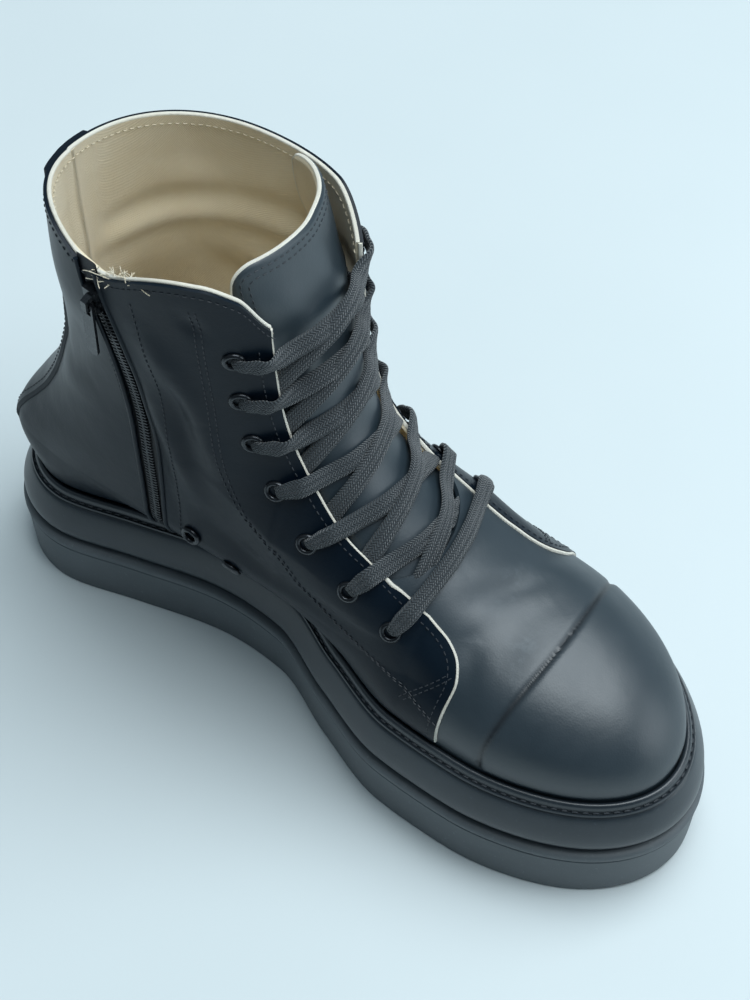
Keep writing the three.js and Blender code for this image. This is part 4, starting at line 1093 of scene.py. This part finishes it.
def tongue():
    """The tongue: leather face, canvas back, raw edge and two rows of stitches."""
    turn, rise, share = tongue_places(150, 84)
    base = surface(turn, rise)
    lean = np.clip((base[..., 2] - TONGUE_BEND) / (TONGUE_TOP - TONGUE_BEND), 0, 1) ** 1.25
    back = mix(TONGUE_LEAN, TONGUE_OUTER_LEAN, ease((base[..., 0] - 20) / 22))
    base[..., 1] += back * lean
    wall = upper_x(OUTER, SOLE_LENGTH / 2 - base[..., 1], np.minimum(rise, 1)) - TONGUE_CLEARANCE
    base[..., 0] = np.where(lean > 0, np.minimum(base[..., 0], wall), base[..., 0])
    out = grid_normals(base, normals(turn, rise))
    level = base[..., 2]
    x = base[..., 0]
    under = -3.1 + 0.7 * hump(share[None, :], 0.5, 0.3)
    hollow = -5.0 * hump(level - 0.2 * x, 168, 8) * hump(x, 7, 13)
    rolls = 0.9 * hump(level + 0.1 * x, 183, 5) * ease((x + 14) / 20)
    rolls += 0.7 * hump(level + 0.25 * x, 194, 6) * ease((10 - x) / 20)
    soft = 0.35 * np.sin(level / 7 + x / 15) * np.sin(x / 11 + 1)
    lift = under + hollow + rolls + soft
    edge = np.minimum(share, 1 - share)[None, :] * 60
    top = (rise[-1][None, :] - rise) * SHAFT_RISE
    roll = rounded_end(np.minimum(edge, top), 1.6)
    outer = layer(base, out, lift - TONGUE_ROLL * (1 - roll))
    middle = layer(base, out, lift - TONGUE_THICK / 2)
    inner = layer(base, out, lift - TONGUE_THICK + TONGUE_ROLL * (1 - roll))
    # The tongue's face takes the leather copy whose colour is painted lighter as painted light.
    face = shell("tongue_leather", outer, middle, GLOSSY_PAINTED_LIT_LEATHER, {"scuff": 0 * x, "seam_painted_shade": 0 * x})
    shell("tongue_lining", inner, middle, CANVAS)
    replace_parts(face, "tongue")
    rim, rim_out = (
        np.concatenate([grid[EDGE_FOOT_ROW:, 0], grid[-1, 1:-1], grid[EDGE_FOOT_ROW:, -1][::-1]])
        for grid in (middle, out)
    )
    line, outs = stepped(rim, rim_out)
    points, faces = sweep(line, unit(outs), round_profile(1.0, 1.5, 8))
    make("tongue_raw_edge", points, faces, PIPING, uv=points[:, 1:])
    rows = []
    for inset in (2.6, 4.6):
        across = inset / 62 * (len(share) - 1)
        up = inset / 118 * (len(rise) - 1)
        a = int(round(across))
        b = len(rise) - 1 - int(round(up))
        last = len(share) - 1 - a
        steps = [(i, a) for i in range(STITCH_FOOT_ROW, b)]
        steps += [(b, j) for j in range(a, last)]
        steps += [(i, last) for i in range(b, STITCH_FOOT_ROW, -1)]
        index = tuple(np.array(steps).T)
        rows.append(stitch_row(smooth_lines(outer[index], 3), out[index]))
    swept_piece("tongue_stitches", rows, THREAD)


# Backstay
BACKSTAY_EDGE = table("rise half", [(0.045, 0.9), (0.25, 0.84), (0.5, 0.76), (0.7, 0.64), (1.1, 0.5)])


def backstay():
    """The strip up the heel, with a row of stitches beside each edge."""
    rows = np.linspace(UPRIGHT_RISE + 0.003, 1, 130)
    half = read(BACKSTAY_EDGE, "rise", "half", rows) * BACKSTAY_WIDTH
    turns = np.linspace(-0.5, 0.5, 800)
    columns = 40
    turn = np.zeros((len(rows), columns))
    for i, (rise, reach) in enumerate(zip(rows, half)):
        line = surface(np.mod(turns, 2), np.full(len(turns), rise))
        turn[i] = np.interp(np.linspace(-reach, reach, columns), line[:, 0], turns)
    base, out = panel_grid(turn, rows)
    share = np.linspace(0, 1, columns)[None, :]
    edge = rounded_end(np.minimum(share, 1 - share) * 30, 1.2)
    worn = creases_by_side(base) * ease(np.abs(base[..., 0]) / 4)
    lift = QUARTER_STEP + 0.15 + 1.15 * edge + worn
    outer = layer(base, out, lift)
    inner = layer(base, out, lift - 1.5 * edge - 0.3)
    marks = {"scuff": 0 * lift, "seam_painted_shade": 0 * lift}
    piece = shell("backstay_strip", outer, inner, LEATHER, marks)
    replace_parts(piece, "backstay")
    parts = [stitch_row(outer[:, column], out[:, column]) for column in (3, columns - 4)]
    swept_piece("backstay_stitches", parts, THREAD)


# Sole
def ring(inset, height):
    """Points round the plan, moved in from its edge, at one height or one for each point."""
    level = np.broadcast_to(height, len(PLAN_POINTS))
    return np.concatenate([PLAN_POINTS - PLAN_NORMALS * inset, level[:, None]], 1)


def plan_loft(name, rings, material, sharp=SHARP_ANGLE):
    """A closed body from rings round the plan, bottom one first."""
    points = np.concatenate(rings)
    faces = closed_faces(len(rings), len(PLAN_POINTS))
    return make(name, points, faces, material, uv=points[:, :2], sharp=sharp)


TREAD_DEPTH = 3
TREAD_RIM = 8
ARCH_RELIEF = 2


def prism_box(low, high):
    """Points and faces of a block with tapered walls, wider at its open foot."""
    low = np.array(low, float)
    high = np.array(high, float)
    points = []
    for level, grow in ((low[2], 0.5), (high[2], 0.0)):
        a = low[:2] - [0, grow]
        b = high[:2] + [0, grow]
        points += [(a[0], a[1], level), (b[0], a[1], level), (b[0], b[1], level), (a[0], b[1], level)]
    faces = [[3, 2, 1, 0], [4, 5, 6, 7], [0, 1, 5, 4], [1, 2, 6, 5], [2, 3, 7, 6], [3, 0, 4, 7]]
    return np.array(points), faces


def carve(piece, cutter, operation="DIFFERENCE"):
    """A piece's mesh cut by another, or kept only inside it."""
    change = piece.modifiers.new("carve", "BOOLEAN")
    change.operation = operation
    change.object = cutter
    change.solver = "EXACT"
    graph = bpy.context.evaluated_depsgraph_get()
    mesh = bpy.data.meshes.new_from_object(piece.evaluated_get(graph))
    piece.modifiers.clear()
    piece.data = mesh


def plain(points, faces):
    """A body used only for cutting."""
    mesh = bpy.data.meshes.new("cutter")
    mesh.from_pydata(in_metres(points).tolist(), [], faces)
    return in_scene("cutter", mesh)


def outsole():
    """The platform unit: flat wall with a lip, toe spring and grooves cut into its tread."""
    from_toe = PLAN_POINTS[:, 1] - station_y(1)
    spring = TOE_SPRING * ease((TOE_SPRING_LENGTH - from_toe) / TOE_SPRING_LENGTH)
    wall = [(0.5, OUTSOLE_HEIGHT - LIP_HEIGHT - 2.2), (0.15, OUTSOLE_HEIGHT - LIP_HEIGHT - 0.6)]
    rings = [ring(3.0, spring)]
    for inset, up in ((2.3, 0.12), (1.9, 0.5), (1.7, 1.2)):
        rings.append(ring(inset, spring + up))
    for share in (0.15, 0.3, 0.45, 0.6, 0.75, 0.88):
        rings.append(ring(mix(1.65, wall[0][0], share), mix(2.2, wall[0][1], share)))
    rings += [ring(*wall[0]), ring(0.75, wall[0][1] + 0.3)]
    rings += [ring(0.75, wall[0][1] + 0.8), ring(*wall[1])]
    lip = smooth_path([(0.0, 25.6), (0.0, 26.4), (0.35, 27.2), (1.1, 27.7), (2.0, OUTSOLE_HEIGHT)], 0.4)
    rings += [ring(inset, height) for inset, height in lip]
    rings.append(ring(6.0, OUTSOLE_HEIGHT))
    piece = plan_loft("outsole_unit", rings, RUBBER, 32)
    blocks = []
    for start, end, count in ((0.07, 0.25, 4), (0.5, 0.93, 8)):
        for share in np.linspace(start, end, count):
            y = station_y(share)
            blocks.append(prism_box((-BALL_WIDTH, y - 2, -1), (BALL_WIDTH, y + 2, TREAD_DEPTH)))
    blocks.append(prism_box((-BALL_WIDTH, station_y(0.45), -1), (BALL_WIDTH, station_y(0.3), ARCH_RELIEF)))
    grooves = plain(*joined(blocks))
    rim_rings = [ring(TREAD_RIM, -0.8), ring(TREAD_RIM, TREAD_DEPTH + 1)]
    rim = plain(np.concatenate(rim_rings), closed_faces(2, len(PLAN_POINTS)))
    carve(grooves, rim, "INTERSECT")
    carve(piece, grooves)
    for cutter in (grooves, rim):
        bpy.data.objects.remove(cutter)
    piece.data.shade_smooth()
    piece.data.set_sharp_from_angle(angle=math.radians(32))
    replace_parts(piece, "outsole")


def midsole():
    """The rounded band: a groove at its foot, full in the middle, drawn in under the welt."""
    low = MIDSOLE_BOTTOM
    profile = smooth_path([
        (3.2, low), (3.1, low + 0.9), (2.7, low + 1.8), (1.9, low + 2.8), (1.2, low + 4.4),
        (1.0, low + 6.2), (1.3, low + 8.6), (2.1, low + 11.4), (3.3, low + 14.4),
        (4.4, low + 16.7), (5.3, low + 18.1), (6.2, MIDSOLE_TOP),
    ], 0.8)
    rings = [ring(6.5, low)] + [ring(inset, height) for inset, height in profile]
    rings.append(ring(9.0, MIDSOLE_TOP))
    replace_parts(plan_loft("midsole_band", rings, BAND, 60), "midsole")


def storm_welt():
    """The welt with its raised bead against the upper, and its row of thick stitches."""
    inner = FEATHER_INSET - GAP
    top = FEATHER + WELT_THICKNESS
    shape = smooth_path([
        (WELT_REACH + 0.5, FEATHER), (WELT_REACH, FEATHER + 0.45), (WELT_REACH + 0.25, top - 0.05),
        (WELT_REACH + 0.8, top - 0.1), (WELT_REACH + 1.2, top - 0.5), (inner - 2.9, top - 0.35),
        (inner - 2.85, BEAD_TOP - 2.4), (inner - 2.4, BEAD_TOP - 0.8), (inner - 1.4, BEAD_TOP - 0.05),
        (inner - 0.4, BEAD_TOP - 0.55), (inner, BEAD_TOP - 1.5), (inner, FEATHER),
    ], 0.5)
    count = len(PLAN_POINTS)
    points = np.concatenate([ring(inset, height) for inset, height in shape])
    faces = grid_faces(len(shape) + 1, count, wrap=True) % (len(shape) * count)
    piece = make("storm_welt_strip", points, faces, WELT, uv=points[:, :2], sharp=60)
    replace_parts(piece, "storm_welt")
    row = ring(WELT_REACH + 1.25, top + 0.1)
    line = even_path(np.concatenate([row, row[:1]]), 1)
    up = np.tile([0.0, 0.0, 1.0], (len(line), 1))
    points, faces = stitch_row(line, up, 2.6, 1.0, 0.8, 0.3)
    make("welt_stitches", points, faces, THREAD)


def insole():
    """The footbed."""
    inset = FEATHER_INSET + WALL + GAP
    top = FEATHER + INSOLE_THICKNESS
    rings = [ring(inset, FEATHER), ring(inset, top - 0.8), ring(inset + 0.8, top)]
    rings.append(ring(inset + 6, top + 0.1))
    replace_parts(plan_loft("footbed", rings, CANVAS), "insole")


# Eyelets
LACED_TOP = 0.865
LACED_BOTTOM = 0.305
VENTS = ((0.335, 0.2), (0.392, 0.155))
VENT_LIFT = 0.35


def throat_edge(side, rises):
    """The lace edge itself: where the face is the throat's half width away from its middle."""
    along = np.linspace(0.3, 0.735, 1200) * SOLE_LENGTH
    x = upper_x(side, along[None, :], rises[:, None])
    middle = read(THROAT_MIDDLE, "station", "centre", along / SOLE_LENGTH) * BALL_WIDTH
    outside = (side * (x - middle) >= THROAT_HALF) & (along <= front_at(rises)[:, None])
    return along[outside.shape[1] - 1 - outside[:, ::-1].argmax(1)]


def edge_places(side):
    """The spots on one lace edge beside its eyelets, top one first."""
    rises = np.linspace(LACED_TOP, LACED_BOTTOM, 121)
    turn = turn_at(side, throat_edge(side, rises), rises)
    line = surface(turn, rises)
    length = length_along(line)
    wanted = np.interp(np.linspace(0, length[-1], EYELET_PAIRS), length, rises)
    turn = turn_at(side, throat_edge(side, wanted), wanted)
    return surface(turn, wanted), normals(turn, wanted)


def eyelets_of(side):
    """Centres on the quarter's worn face and their outward directions."""
    edge, out = edge_places(side)
    centres = []
    directions = []
    for k in range(EYELET_PAIRS):
        run = unit(edge[min(k + 1, EYELET_PAIRS - 1)] - edge[max(k - 1, 0)])
        back = unit(np.cross(run, out[k]) * side)
        back = back if back[0] * side > 0 else -back
        found = skin(edge[k] + back * EYELET_SET_BACK - out[k] * 15, out[k], 30)
        base, direction = place(side, SOLE_LENGTH / 2 - found[1], found[2])
        centres.append(base + direction * quarter_lift(base, side))
        directions.append(direction)
    return np.array(centres), np.array(directions)


EYELET_RADIUS = 4
EYELET_BORE = 2.1
EYELET_CORNERS = 40
EYELET_RING = smooth_path([
    (EYELET_BORE, -2.4), (EYELET_BORE, -0.6), (EYELET_BORE + 0.05, 0.6),
    (EYELET_BORE + 0.45, 1.1), (3.0, 1.3), (EYELET_RADIUS - 0.45, 1.05),
    (EYELET_RADIUS - 0.05, 0.5), (EYELET_RADIUS - 0.1, 0.02), (3.2, -0.1), (2.75, -0.5), (2.7, -2.4),
], 0.28)


def ring_piece(name, node, centre, direction):
    """An eyelet's rolled rim and barrel, turned round its direction."""
    sideways = unit(np.cross(direction, [0.0, 0.0, 1.0]))
    upward = np.cross(sideways, direction)
    angle = 2 * np.pi * np.arange(EYELET_CORNERS) / EYELET_CORNERS
    around = np.cos(angle)[:, None] * sideways + np.sin(angle)[:, None] * upward
    rings = centre + EYELET_RING[:, :1, None] * around[None] + EYELET_RING[:, 1:, None] * direction
    count = len(EYELET_RING)
    faces = grid_faces(count + 1, EYELET_CORNERS, wrap=True) % (count * EYELET_CORNERS)
    piece = make(name, rings.reshape(-1, 3), faces, METAL, sharp=50)
    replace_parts(piece, node)


# Laces
LACE_WIDE = 6.6
LACE_THICK = 1.9
THROAT_DEEP = 26
OUTER_RIDE = 1.7
LACE_OVER = table("run lift width thick", [
    (0.9, 1.364, 2 * EYELET_BORE, 1.7),
    (3.2, 2.2, LACE_WIDE * 0.78, LACE_THICK),
    (6.8, 1.65, LACE_WIDE * 0.97, LACE_THICK),
    (10.5, 1.55, LACE_WIDE, LACE_THICK),
])
LACE_UNDER = {**LACE_OVER, "lift": np.array([-3.45, -4.6, -3.4, -3.5])}


class Lace:
    """Waypoints of one lace: place, outward direction there, width, thickness."""

    def __init__(self):
        self.rows = []
        self.flip = 1

    def add(self, point, out, run, width=LACE_WIDE, thick=LACE_THICK):
        side = unit(np.cross(out, run)) * self.flip
        self.rows.append(np.concatenate([point, side, [width, thick]]))


def over_throat(a, b, share, lift):
    """A point across the throat between two spots, raised from the face that the tongue follows."""
    flat = mix(a, b, share)
    station = (SOLE_LENGTH / 2 - flat[1]) / SOLE_LENGTH
    middle = read(THROAT_MIDDLE, "station", "centre", station) * BALL_WIDTH
    inner = np.array([middle, flat[1] + THROAT_DEEP, flat[2] - THROAT_DEEP])
    direction = unit(flat - inner)
    hit = skin(inner, direction, 70)
    return hit + direction * lift, direction


def lace_line(eyes, edges):
    """One lace: down from a top eyelet, across the lowest pair and up to the other top eyelet."""
    lace = Lace()
    sides = [OUTER if k % 2 else INNER for k in range(EYELET_PAIRS)]
    lower = [(sides[k], k) for k in range(EYELET_PAIRS)]
    upper = [(-sides[k], k) for k in range(EYELET_PAIRS - 1, -1, -1)]
    stops = lower + upper
    for (side_a, a), (side_b, b) in zip(stops, stops[1:]):
        centre_a, out_a = eyes[side_a][0][a], eyes[side_a][1][a]
        centre_b, out_b = eyes[side_b][0][b], eyes[side_b][1][b]
        edge_a, edge_b = edges[side_a][0][a], edges[side_b][0][b]
        run = unit(centre_b - centre_a)
        over_a = 1 if a <= b else -1
        over_b = 1 if b <= a else -1
        over_side = side_a if over_a > 0 else side_b
        ride = 0.0 if over_side == INNER else OUTER_RIDE
        if a == b:
            ride = None
        crossing(lace, (centre_a, out_a, edge_a, over_a), (centre_b, out_b, edge_b, over_b), run, ride)
        lace.flip = -lace.flip
    return np.array(lace.rows)


def crossing(lace, start, end, run, ride):
    """From one eyelet to another; at each end the lace lies over (1) or under (-1) the quarter."""
    ends = []
    for (centre, out, edge, over), goal in ((start, end[0]), (end, start[0])):
        way = unit(mix(edge, goal, 0.14) - centre)
        way = unit(way - out * (way @ out))
        rows = [(centre + way * 0.1 - out, out, 2 * EYELET_BORE - 0.5, LACE_THICK)]
        shape = LACE_OVER if over > 0 else LACE_UNDER
        for far, lift, width, thick in zip(*shape.values()):
            rows.append((centre + way * far + out * lift, out, width, thick))
        ends.append(rows)
    first = ends[0]
    last = ends[1][::-1]
    for point, out, width, thick in first:
        lace.add(point, out, run, width, thick)
    a = first[-1][0]
    b = last[0][0]
    for share in (0.22, 0.38, 0.5, 0.62, 0.78):
        settle = 2.1 if ride is None else -1.2 + ride * hump(share, 0.5, 0.24)
        point, direction = over_throat(a, b, share, settle)
        lace.add(point, direction, run, LACE_WIDE * (1 + 0.02 * math.sin(9 * share)), LACE_THICK)
    for point, out, width, thick in last:
        lace.add(point, out, run, width, thick)


def laces(eyes, edges):
    """The lace's waypoints turned into one soft flat cord."""
    rows = lace_line(eyes, edges)
    line = smooth_path(rows, 0.75)
    path = smooth_lines(line[:, :3], 4)
    run = unit(np.gradient(path, axis=0))
    side = smooth_lines(line[:, 3:6], 10)
    side = unit(side - run * (side * run).sum(1, keepdims=True))
    out = np.cross(run, side)
    length = length_along(path)
    wave = 0.16 * np.sin(length / 4.3) + 0.1 * np.sin(length / 1.9 + 1)
    profile = round_profile(1, 1, 18, 0.8, 0.7)
    bow = 0.55 * (1 - (2 * profile[:, 0]) ** 2)
    width = np.minimum(line[:, 6:7], LACE_WIDE) + 0.25 * np.sin(length / 6)[:, None]
    lift = profile[None, :, 1] * line[:, 7:8] + bow[None, :] * 0.5 + wave[:, None] * profile[None, :, 0] * 2
    spans = side[:, None] * (profile[None, :, :1] * width[:, None])
    rings = path[:, None] + spans + out[:, None] * lift[..., None]
    count, corners = rings.shape[:2]
    faces = closed_faces(count, corners)
    across = np.repeat(profile[None, :, 0] * LACE_WIDE, count, 0)
    uv = np.stack([across, np.repeat(length[:, None], corners, 1)], -1).reshape(-1, 2)
    piece = make("flat_lace", rings.reshape(-1, 3), faces, LACE, uv=uv, sharp=80)
    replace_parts(piece, "lace")


# Zip
SLIDER_LEVEL = 0.918
SLIDER_LENGTH = 10.5


ZIP_FOOT = 0.118
FOLD_OUT = 0.25


def zip_path(low, high, lift, step, shift=0.0):
    rises = np.linspace(low, high, 260)
    along = read(ZIP_LINE, "height", "station", rises) * SOLE_LENGTH + shift
    base, out = place(INNER, along, level_at(rises))
    worn = creases(base, INNER)[:, None]
    path, outs = stepped(base + out * (lift + worn), out, step)
    return path, unit(outs)


def zip_parts():
    """The tape, two rows of teeth that meet, and the leather folded along both sides."""
    tape_line = zip_path(ZIP_FOOT, 1.015, -0.05, EDGE_STEP)
    points, faces = sweep(*tape_line, round_profile(ZIP_SLOT + 1.5, 0.5, 10, 0.6))
    tape = make("zip_tape_strip", points, faces, TAPE, uv=points[:, 1:])
    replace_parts(tape, "zip_tape")
    top = SLIDER_LEVEL - (SLIDER_LENGTH / 2) / SHAFT_RISE
    path, outs = zip_path(ZIP_FOOT + 0.01, top, 0.75, 0.8)
    sides = path_sides(path, outs)
    run = unit(np.gradient(path, axis=0))
    tooth = round_profile(2.9, 0.95, 8, 0.5)
    parts = []
    for i in range(1, len(path) - 1):
        hand = 1 if i % 2 else -1
        centre = path[i] + sides[i] * hand * 0.75
        shape = sides[i] * tooth[:, :1] + outs[i] * tooth[:, 1:] * 1.1
        ends = ((-1, 0.8), (-0.7, 1), (0.7, 1), (1, 0.8))
        rings = [centre + run[i] * depth * 0.34 + shape * grow for depth, grow in ends]
        parts.append((np.concatenate(rings), closed_faces(len(rings), len(tooth))))
    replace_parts(swept_piece("zip_teeth", parts, METAL), "zip_chain")
    bands = []
    for hand in (-1, 1):
        edge = zip_path(ZIP_FOOT, 1.0, 1.25, EDGE_STEP, hand * (ZIP_SLOT / 2 + FOLD_OUT))
        bands.append(sweep(*edge, round_profile(1.7, 1.5)))
    points, faces = joined(bands)
    marks = {"scuff": np.zeros(len(points)), "seam_painted_shade": np.zeros(len(points))}
    make("zip_folded_edges", points, faces, LEATHER, marks=marks)


BEVEL_ANGLE = 35


def copied(node, name, material, body, width):
    """A bevelled copy of a hard CAD piece, which it stands for."""
    source = frame["nodes"][node]
    mesh = source.data.copy()
    mesh.transform(source.matrix_world)
    mesh.materials.clear()
    mesh.materials.append(material)
    piece = in_scene(name, mesh)
    change = piece.modifiers.new("soften", "BEVEL")
    change.width = width * MM
    change.segments = 3
    change.limit_method = "ANGLE"
    change.angle_limit = math.radians(BEVEL_ANGLE)
    mesh.shade_smooth()
    mesh.set_sharp_from_angle(angle=math.radians(BEVEL_ANGLE))
    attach(piece, body)
    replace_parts(piece, node)


# Seams on the quarters, by distance from the heel end and height
EYESTAY = {
    INNER: [
        (104.7, 208), (105.9, 197), (106.5, 184), (108, 163), (109.9, 138), (114, 121), (121.3, 110.7),
        (133.2, 101.9), (143.4, 89), (155, 81.6), (170.5, 76.2), (186.2, 71.4), (198.6, 66.4), (204.5, 64),
    ],
    OUTER: [
        (103, 196), (104.5, 184), (106, 163), (108.5, 138), (113, 121), (121.3, 108.7), (133.2, 99.9),
        (145, 88), (157, 80.6), (172.5, 75.2), (186.2, 71.4), (199, 66.4), (204.5, 64),
    ],
}
ZIP_WELT_SEAM = [
    (84.9, 203), (88, 182), (91.2, 162), (92.5, 140), (93, 120), (92.4, 96), (92, 72), (92, 58),
]
ZIP_REAR_SEAM = [
    (67.5, 203), (69.5, 182), (72.5, 162), (75.5, 140), (76.8, 120), (76.6, 96), (76, 72), (76, 58),
]
OUTER_SIDE_SEAM = [
    (84, 194), (88, 182), (92, 162), (95, 140), (96, 120), (95, 96), (94, 72), (93, 58),
]
FRONT_BAR = [(189.5, 65.5), (194, 70.5), (198.5, 75), (203.5, 80)]


SEAM_GAP = 2.1
SEAM_LIFT = 0.02


def seam_row(side, points, shift):
    path = smooth_path(points, 2)
    base, out = place(side, path[:, 0] + shift, path[:, 1])
    return stitch_row(layer(base, out, quarter_lift(base, side) + SEAM_LIFT), out)


def seams():
    """Every row of dark stitches on the quarters, and one beside each throat edge."""
    parts = []
    for side in (INNER, OUTER):
        for shift in (0, SEAM_GAP):
            parts.append(seam_row(side, EYESTAY[side], shift))
            parts.append(seam_row(side, FRONT_BAR, shift))
    parts.append(seam_row(INNER, ZIP_WELT_SEAM, 0))
    parts.append(seam_row(INNER, ZIP_REAR_SEAM, 0))
    parts.append(seam_row(OUTER, OUTER_SIDE_SEAM, 0))
    parts.append(seam_row(OUTER, OUTER_SIDE_SEAM, SEAM_GAP))
    rises = np.linspace(0.885, 0.06, 260)
    for side in (INNER, OUTER):
        along = quarter_reach(side, rises) - 2.8
        base, out = place(side, along, level_at(rises))
        line = smooth_lines(layer(base, out, quarter_lift(base, side)), 6)
        parts.append(stitch_row(line, out))
    swept_piece("quarter_stitches", parts, THREAD)


def collar_stitches():
    """A row of stitches below the collar on its lining and one on its leather."""
    start, end = collar_ends()
    turn = np.mod(np.linspace(start + 0.01, end - 0.01, 500), 2)
    rim = surface(turn, 1.0)
    level = collar_level(rim[:, 0], rim[:, 1])
    for name, drop, lift, material, slot in (
        ("collar_lining_stitches", 3.4, -1.75, PALE_THREAD, "canvas"),
        ("collar_stitches", 3.0, 1.2, THREAD, "cord"),
    ):
        rise = rise_at(level - drop)
        base = surface(turn, rise)
        out = normals(turn, rise)
        line = layer(base, out, lift + creases_by_side(base))
        swept_piece(name, [stitch_row(line, out * np.sign(lift))], material)


THREAD_WIDTH = 0.36
THREAD_COUNT = 70


def frayed_threads():
    """Loose canvas threads where the lining ends at the zip's top."""
    rng = np.random.default_rng(7)
    parts = []
    for _ in range(THREAD_COUNT):
        along = 77 + rng.uniform(-7, 12)
        rim = surface(turn_at(INNER, along, 1.0), 1.0)
        level = collar_level(rim[0], rim[1]) - rng.uniform(-0.4, 2.2)
        point, out = place(INNER, along, level, rng.uniform(-0.8, 1.2))
        way = unit(np.array([rng.normal(0.2, 0.35), rng.normal(0, 1.0), rng.normal(0.1, 0.3)]))
        steps = np.linspace(0, rng.uniform(2.5, 6.5), 7)[:, None]
        curl = out * np.sin(steps / 2.2 + rng.uniform(0, 6)) * 0.7
        path = point + way * steps + curl - [0, 0, 0.03] * steps**2
        outs = np.tile(out, (len(path), 1))
        parts.append(sweep(path, outs, round_profile(THREAD_WIDTH, THREAD_WIDTH, 5)))
    points, faces = joined(parts)
    make("frayed_threads", points, faces, FRAY, uv=points[:, 1:])


# Build
upper_panels()
vamp()
lining()
edge_bindings()
tongue()
backstay()
outsole()
midsole()
storm_welt()
insole()
EYES = {side: eyelets_of(side) for side in (INNER, OUTER)}
EDGES = {side: edge_places(side) for side in (INNER, OUTER)}
for side, word in ((INNER, "inner"), (OUTER, "outer")):
    for k in range(EYELET_PAIRS):
        ring_piece(f"ring_{word}_{k + 1}", f"eyelet_{word}_{k + 1}", EYES[side][0][k], EYES[side][1][k])
for i, (station, height) in enumerate(VENTS):
    spot, facing = place(INNER, station * SOLE_LENGTH, level_at(height))
    spot = spot + facing * (quarter_lift(spot, INNER) + VENT_LIFT)
    ring_piece(f"vent_ring_{i + 1}", f"vent_eyelet_{i + 1}", spot, facing)
laces(EYES, EDGES)
zip_parts()
copied("zip_slider", "slider_body", METAL, "boot", 0.35)
copied("zip_pull", "pull_blade", METAL, "pull_tab", 0.25)
seams()
collar_stitches()
frayed_threads()


# Floor, light and camera
CAMERA_PLACE = (-415.8056, -273.5737, 797.1901)
CAMERA_FORWARD = (0.42412968, 0.31401008, -0.84941844)
CAMERA_RIGHT = (0.56035063, -0.82783974, -0.02623994)
CAMERA_UP = (0.71142194, 0.46484303, 0.52706715)
PHOTO_LENS = 65.44
ZOOM = 1.36
LENS_PIXELS = 1817.8
AIM_RIGHT = 66 / LENS_PIXELS
AIM_UP = 115.5 / LENS_PIXELS


def camera():
    """The photograph's camera, closer by its zoom and turned to put the boot in the middle."""
    data = bpy.data.cameras.new("camera")
    data.lens = PHOTO_LENS * ZOOM
    data.sensor_width = 36
    data.sensor_fit = "AUTO"
    data.clip_end = 20
    eye = in_scene("camera", data)
    turned = np.array(CAMERA_RIGHT) * AIM_RIGHT + np.array(CAMERA_UP) * AIM_UP
    forward = unit(np.array(CAMERA_FORWARD) + turned)
    right = unit(np.array(CAMERA_RIGHT) - forward * (np.array(CAMERA_RIGHT) @ forward))
    up = np.cross(right, forward)
    rows = np.column_stack([right, up, -forward, in_metres(CAMERA_PLACE)])
    eye.matrix_world = Matrix([*rows.tolist(), [0, 0, 0, 1]])
    bpy.context.scene.camera = eye


def area_light(name, spot, target, width, height, power, colour):
    data = bpy.data.lights.new(name, "AREA")
    data.shape = "RECTANGLE"
    data.size = width
    data.size_y = height
    data.energy = power
    data.color = colour
    lamp = in_scene(name, data)
    lamp.location = spot
    lamp.rotation_euler = (Vector(target) - Vector(spot)).to_track_quat("-Z", "Y").to_euler()


FLOOR_REACH = 6


def floor():
    mesh = bpy.data.meshes.new("floor")
    corners = [(x * FLOOR_REACH, y * FLOOR_REACH, 0) for x, y in ((-1, -1), (1, -1), (1, 1), (-1, 1))]
    mesh.from_pydata(corners, [], [range(4)])
    look = Look("pale_floor", Roughness=0.62, Specular_IOR_Level=0.25)
    broad = look.noise(3, 4)
    look.link(look.colour(look.ramp(broad, 0.3, 0.7), (0.62, 0.685, 0.7), (0.66, 0.72, 0.735)), "Base Color")
    look.bump((look.noise(600, 3), 0.04, 0.0002))
    mesh.materials.append(look.material)
    in_scene("floor", mesh)


def world():
    """A soft room, paler towards one side of its ceiling."""
    sky = bpy.data.worlds.new("soft_room")
    sky.use_nodes = True
    bpy.context.scene.world = sky
    tree = sky.node_tree
    coordinate = tree.nodes.new("ShaderNodeTexCoord")
    height = tree.nodes.new("ShaderNodeMapRange")
    height.inputs[1].default_value = 0.1
    height.inputs[2].default_value = 1.1
    slant = tree.nodes.new("ShaderNodeVectorMath")
    slant.operation = "DOT_PRODUCT"
    slant.inputs[1].default_value = (0.5, 0.25, 0.83)
    tree.links.new(coordinate.outputs["Generated"], slant.inputs[0])
    tree.links.new(slant.outputs["Value"], height.inputs[0])
    blend = tree.nodes.new("ShaderNodeMix")
    blend.data_type = "RGBA"
    blend.inputs[6].default_value = (0.16, 0.21, 0.25, 1)
    blend.inputs[7].default_value = (0.72, 0.9, 1.0, 1)
    tree.links.new(height.outputs[0], blend.inputs[0])
    tree.links.new(blend.outputs[2], tree.nodes["Background"].inputs["Color"])
    tree.nodes["Background"].inputs["Strength"].default_value = 0.5


bpy.context.scene.view_settings.view_transform = "Standard"
floor()
world()
area_light("overhead", (0.34, -0.36, 1.7), (0, -0.03, 0.1), 1.5, 1.5, 37, (0.88, 0.96, 1.0))
area_light("toe_side", (0.7, -1.6, 0.55), (0, -0.05, 0.1), 1.0, 0.9, 7, (0.86, 0.95, 1.0))
camera()
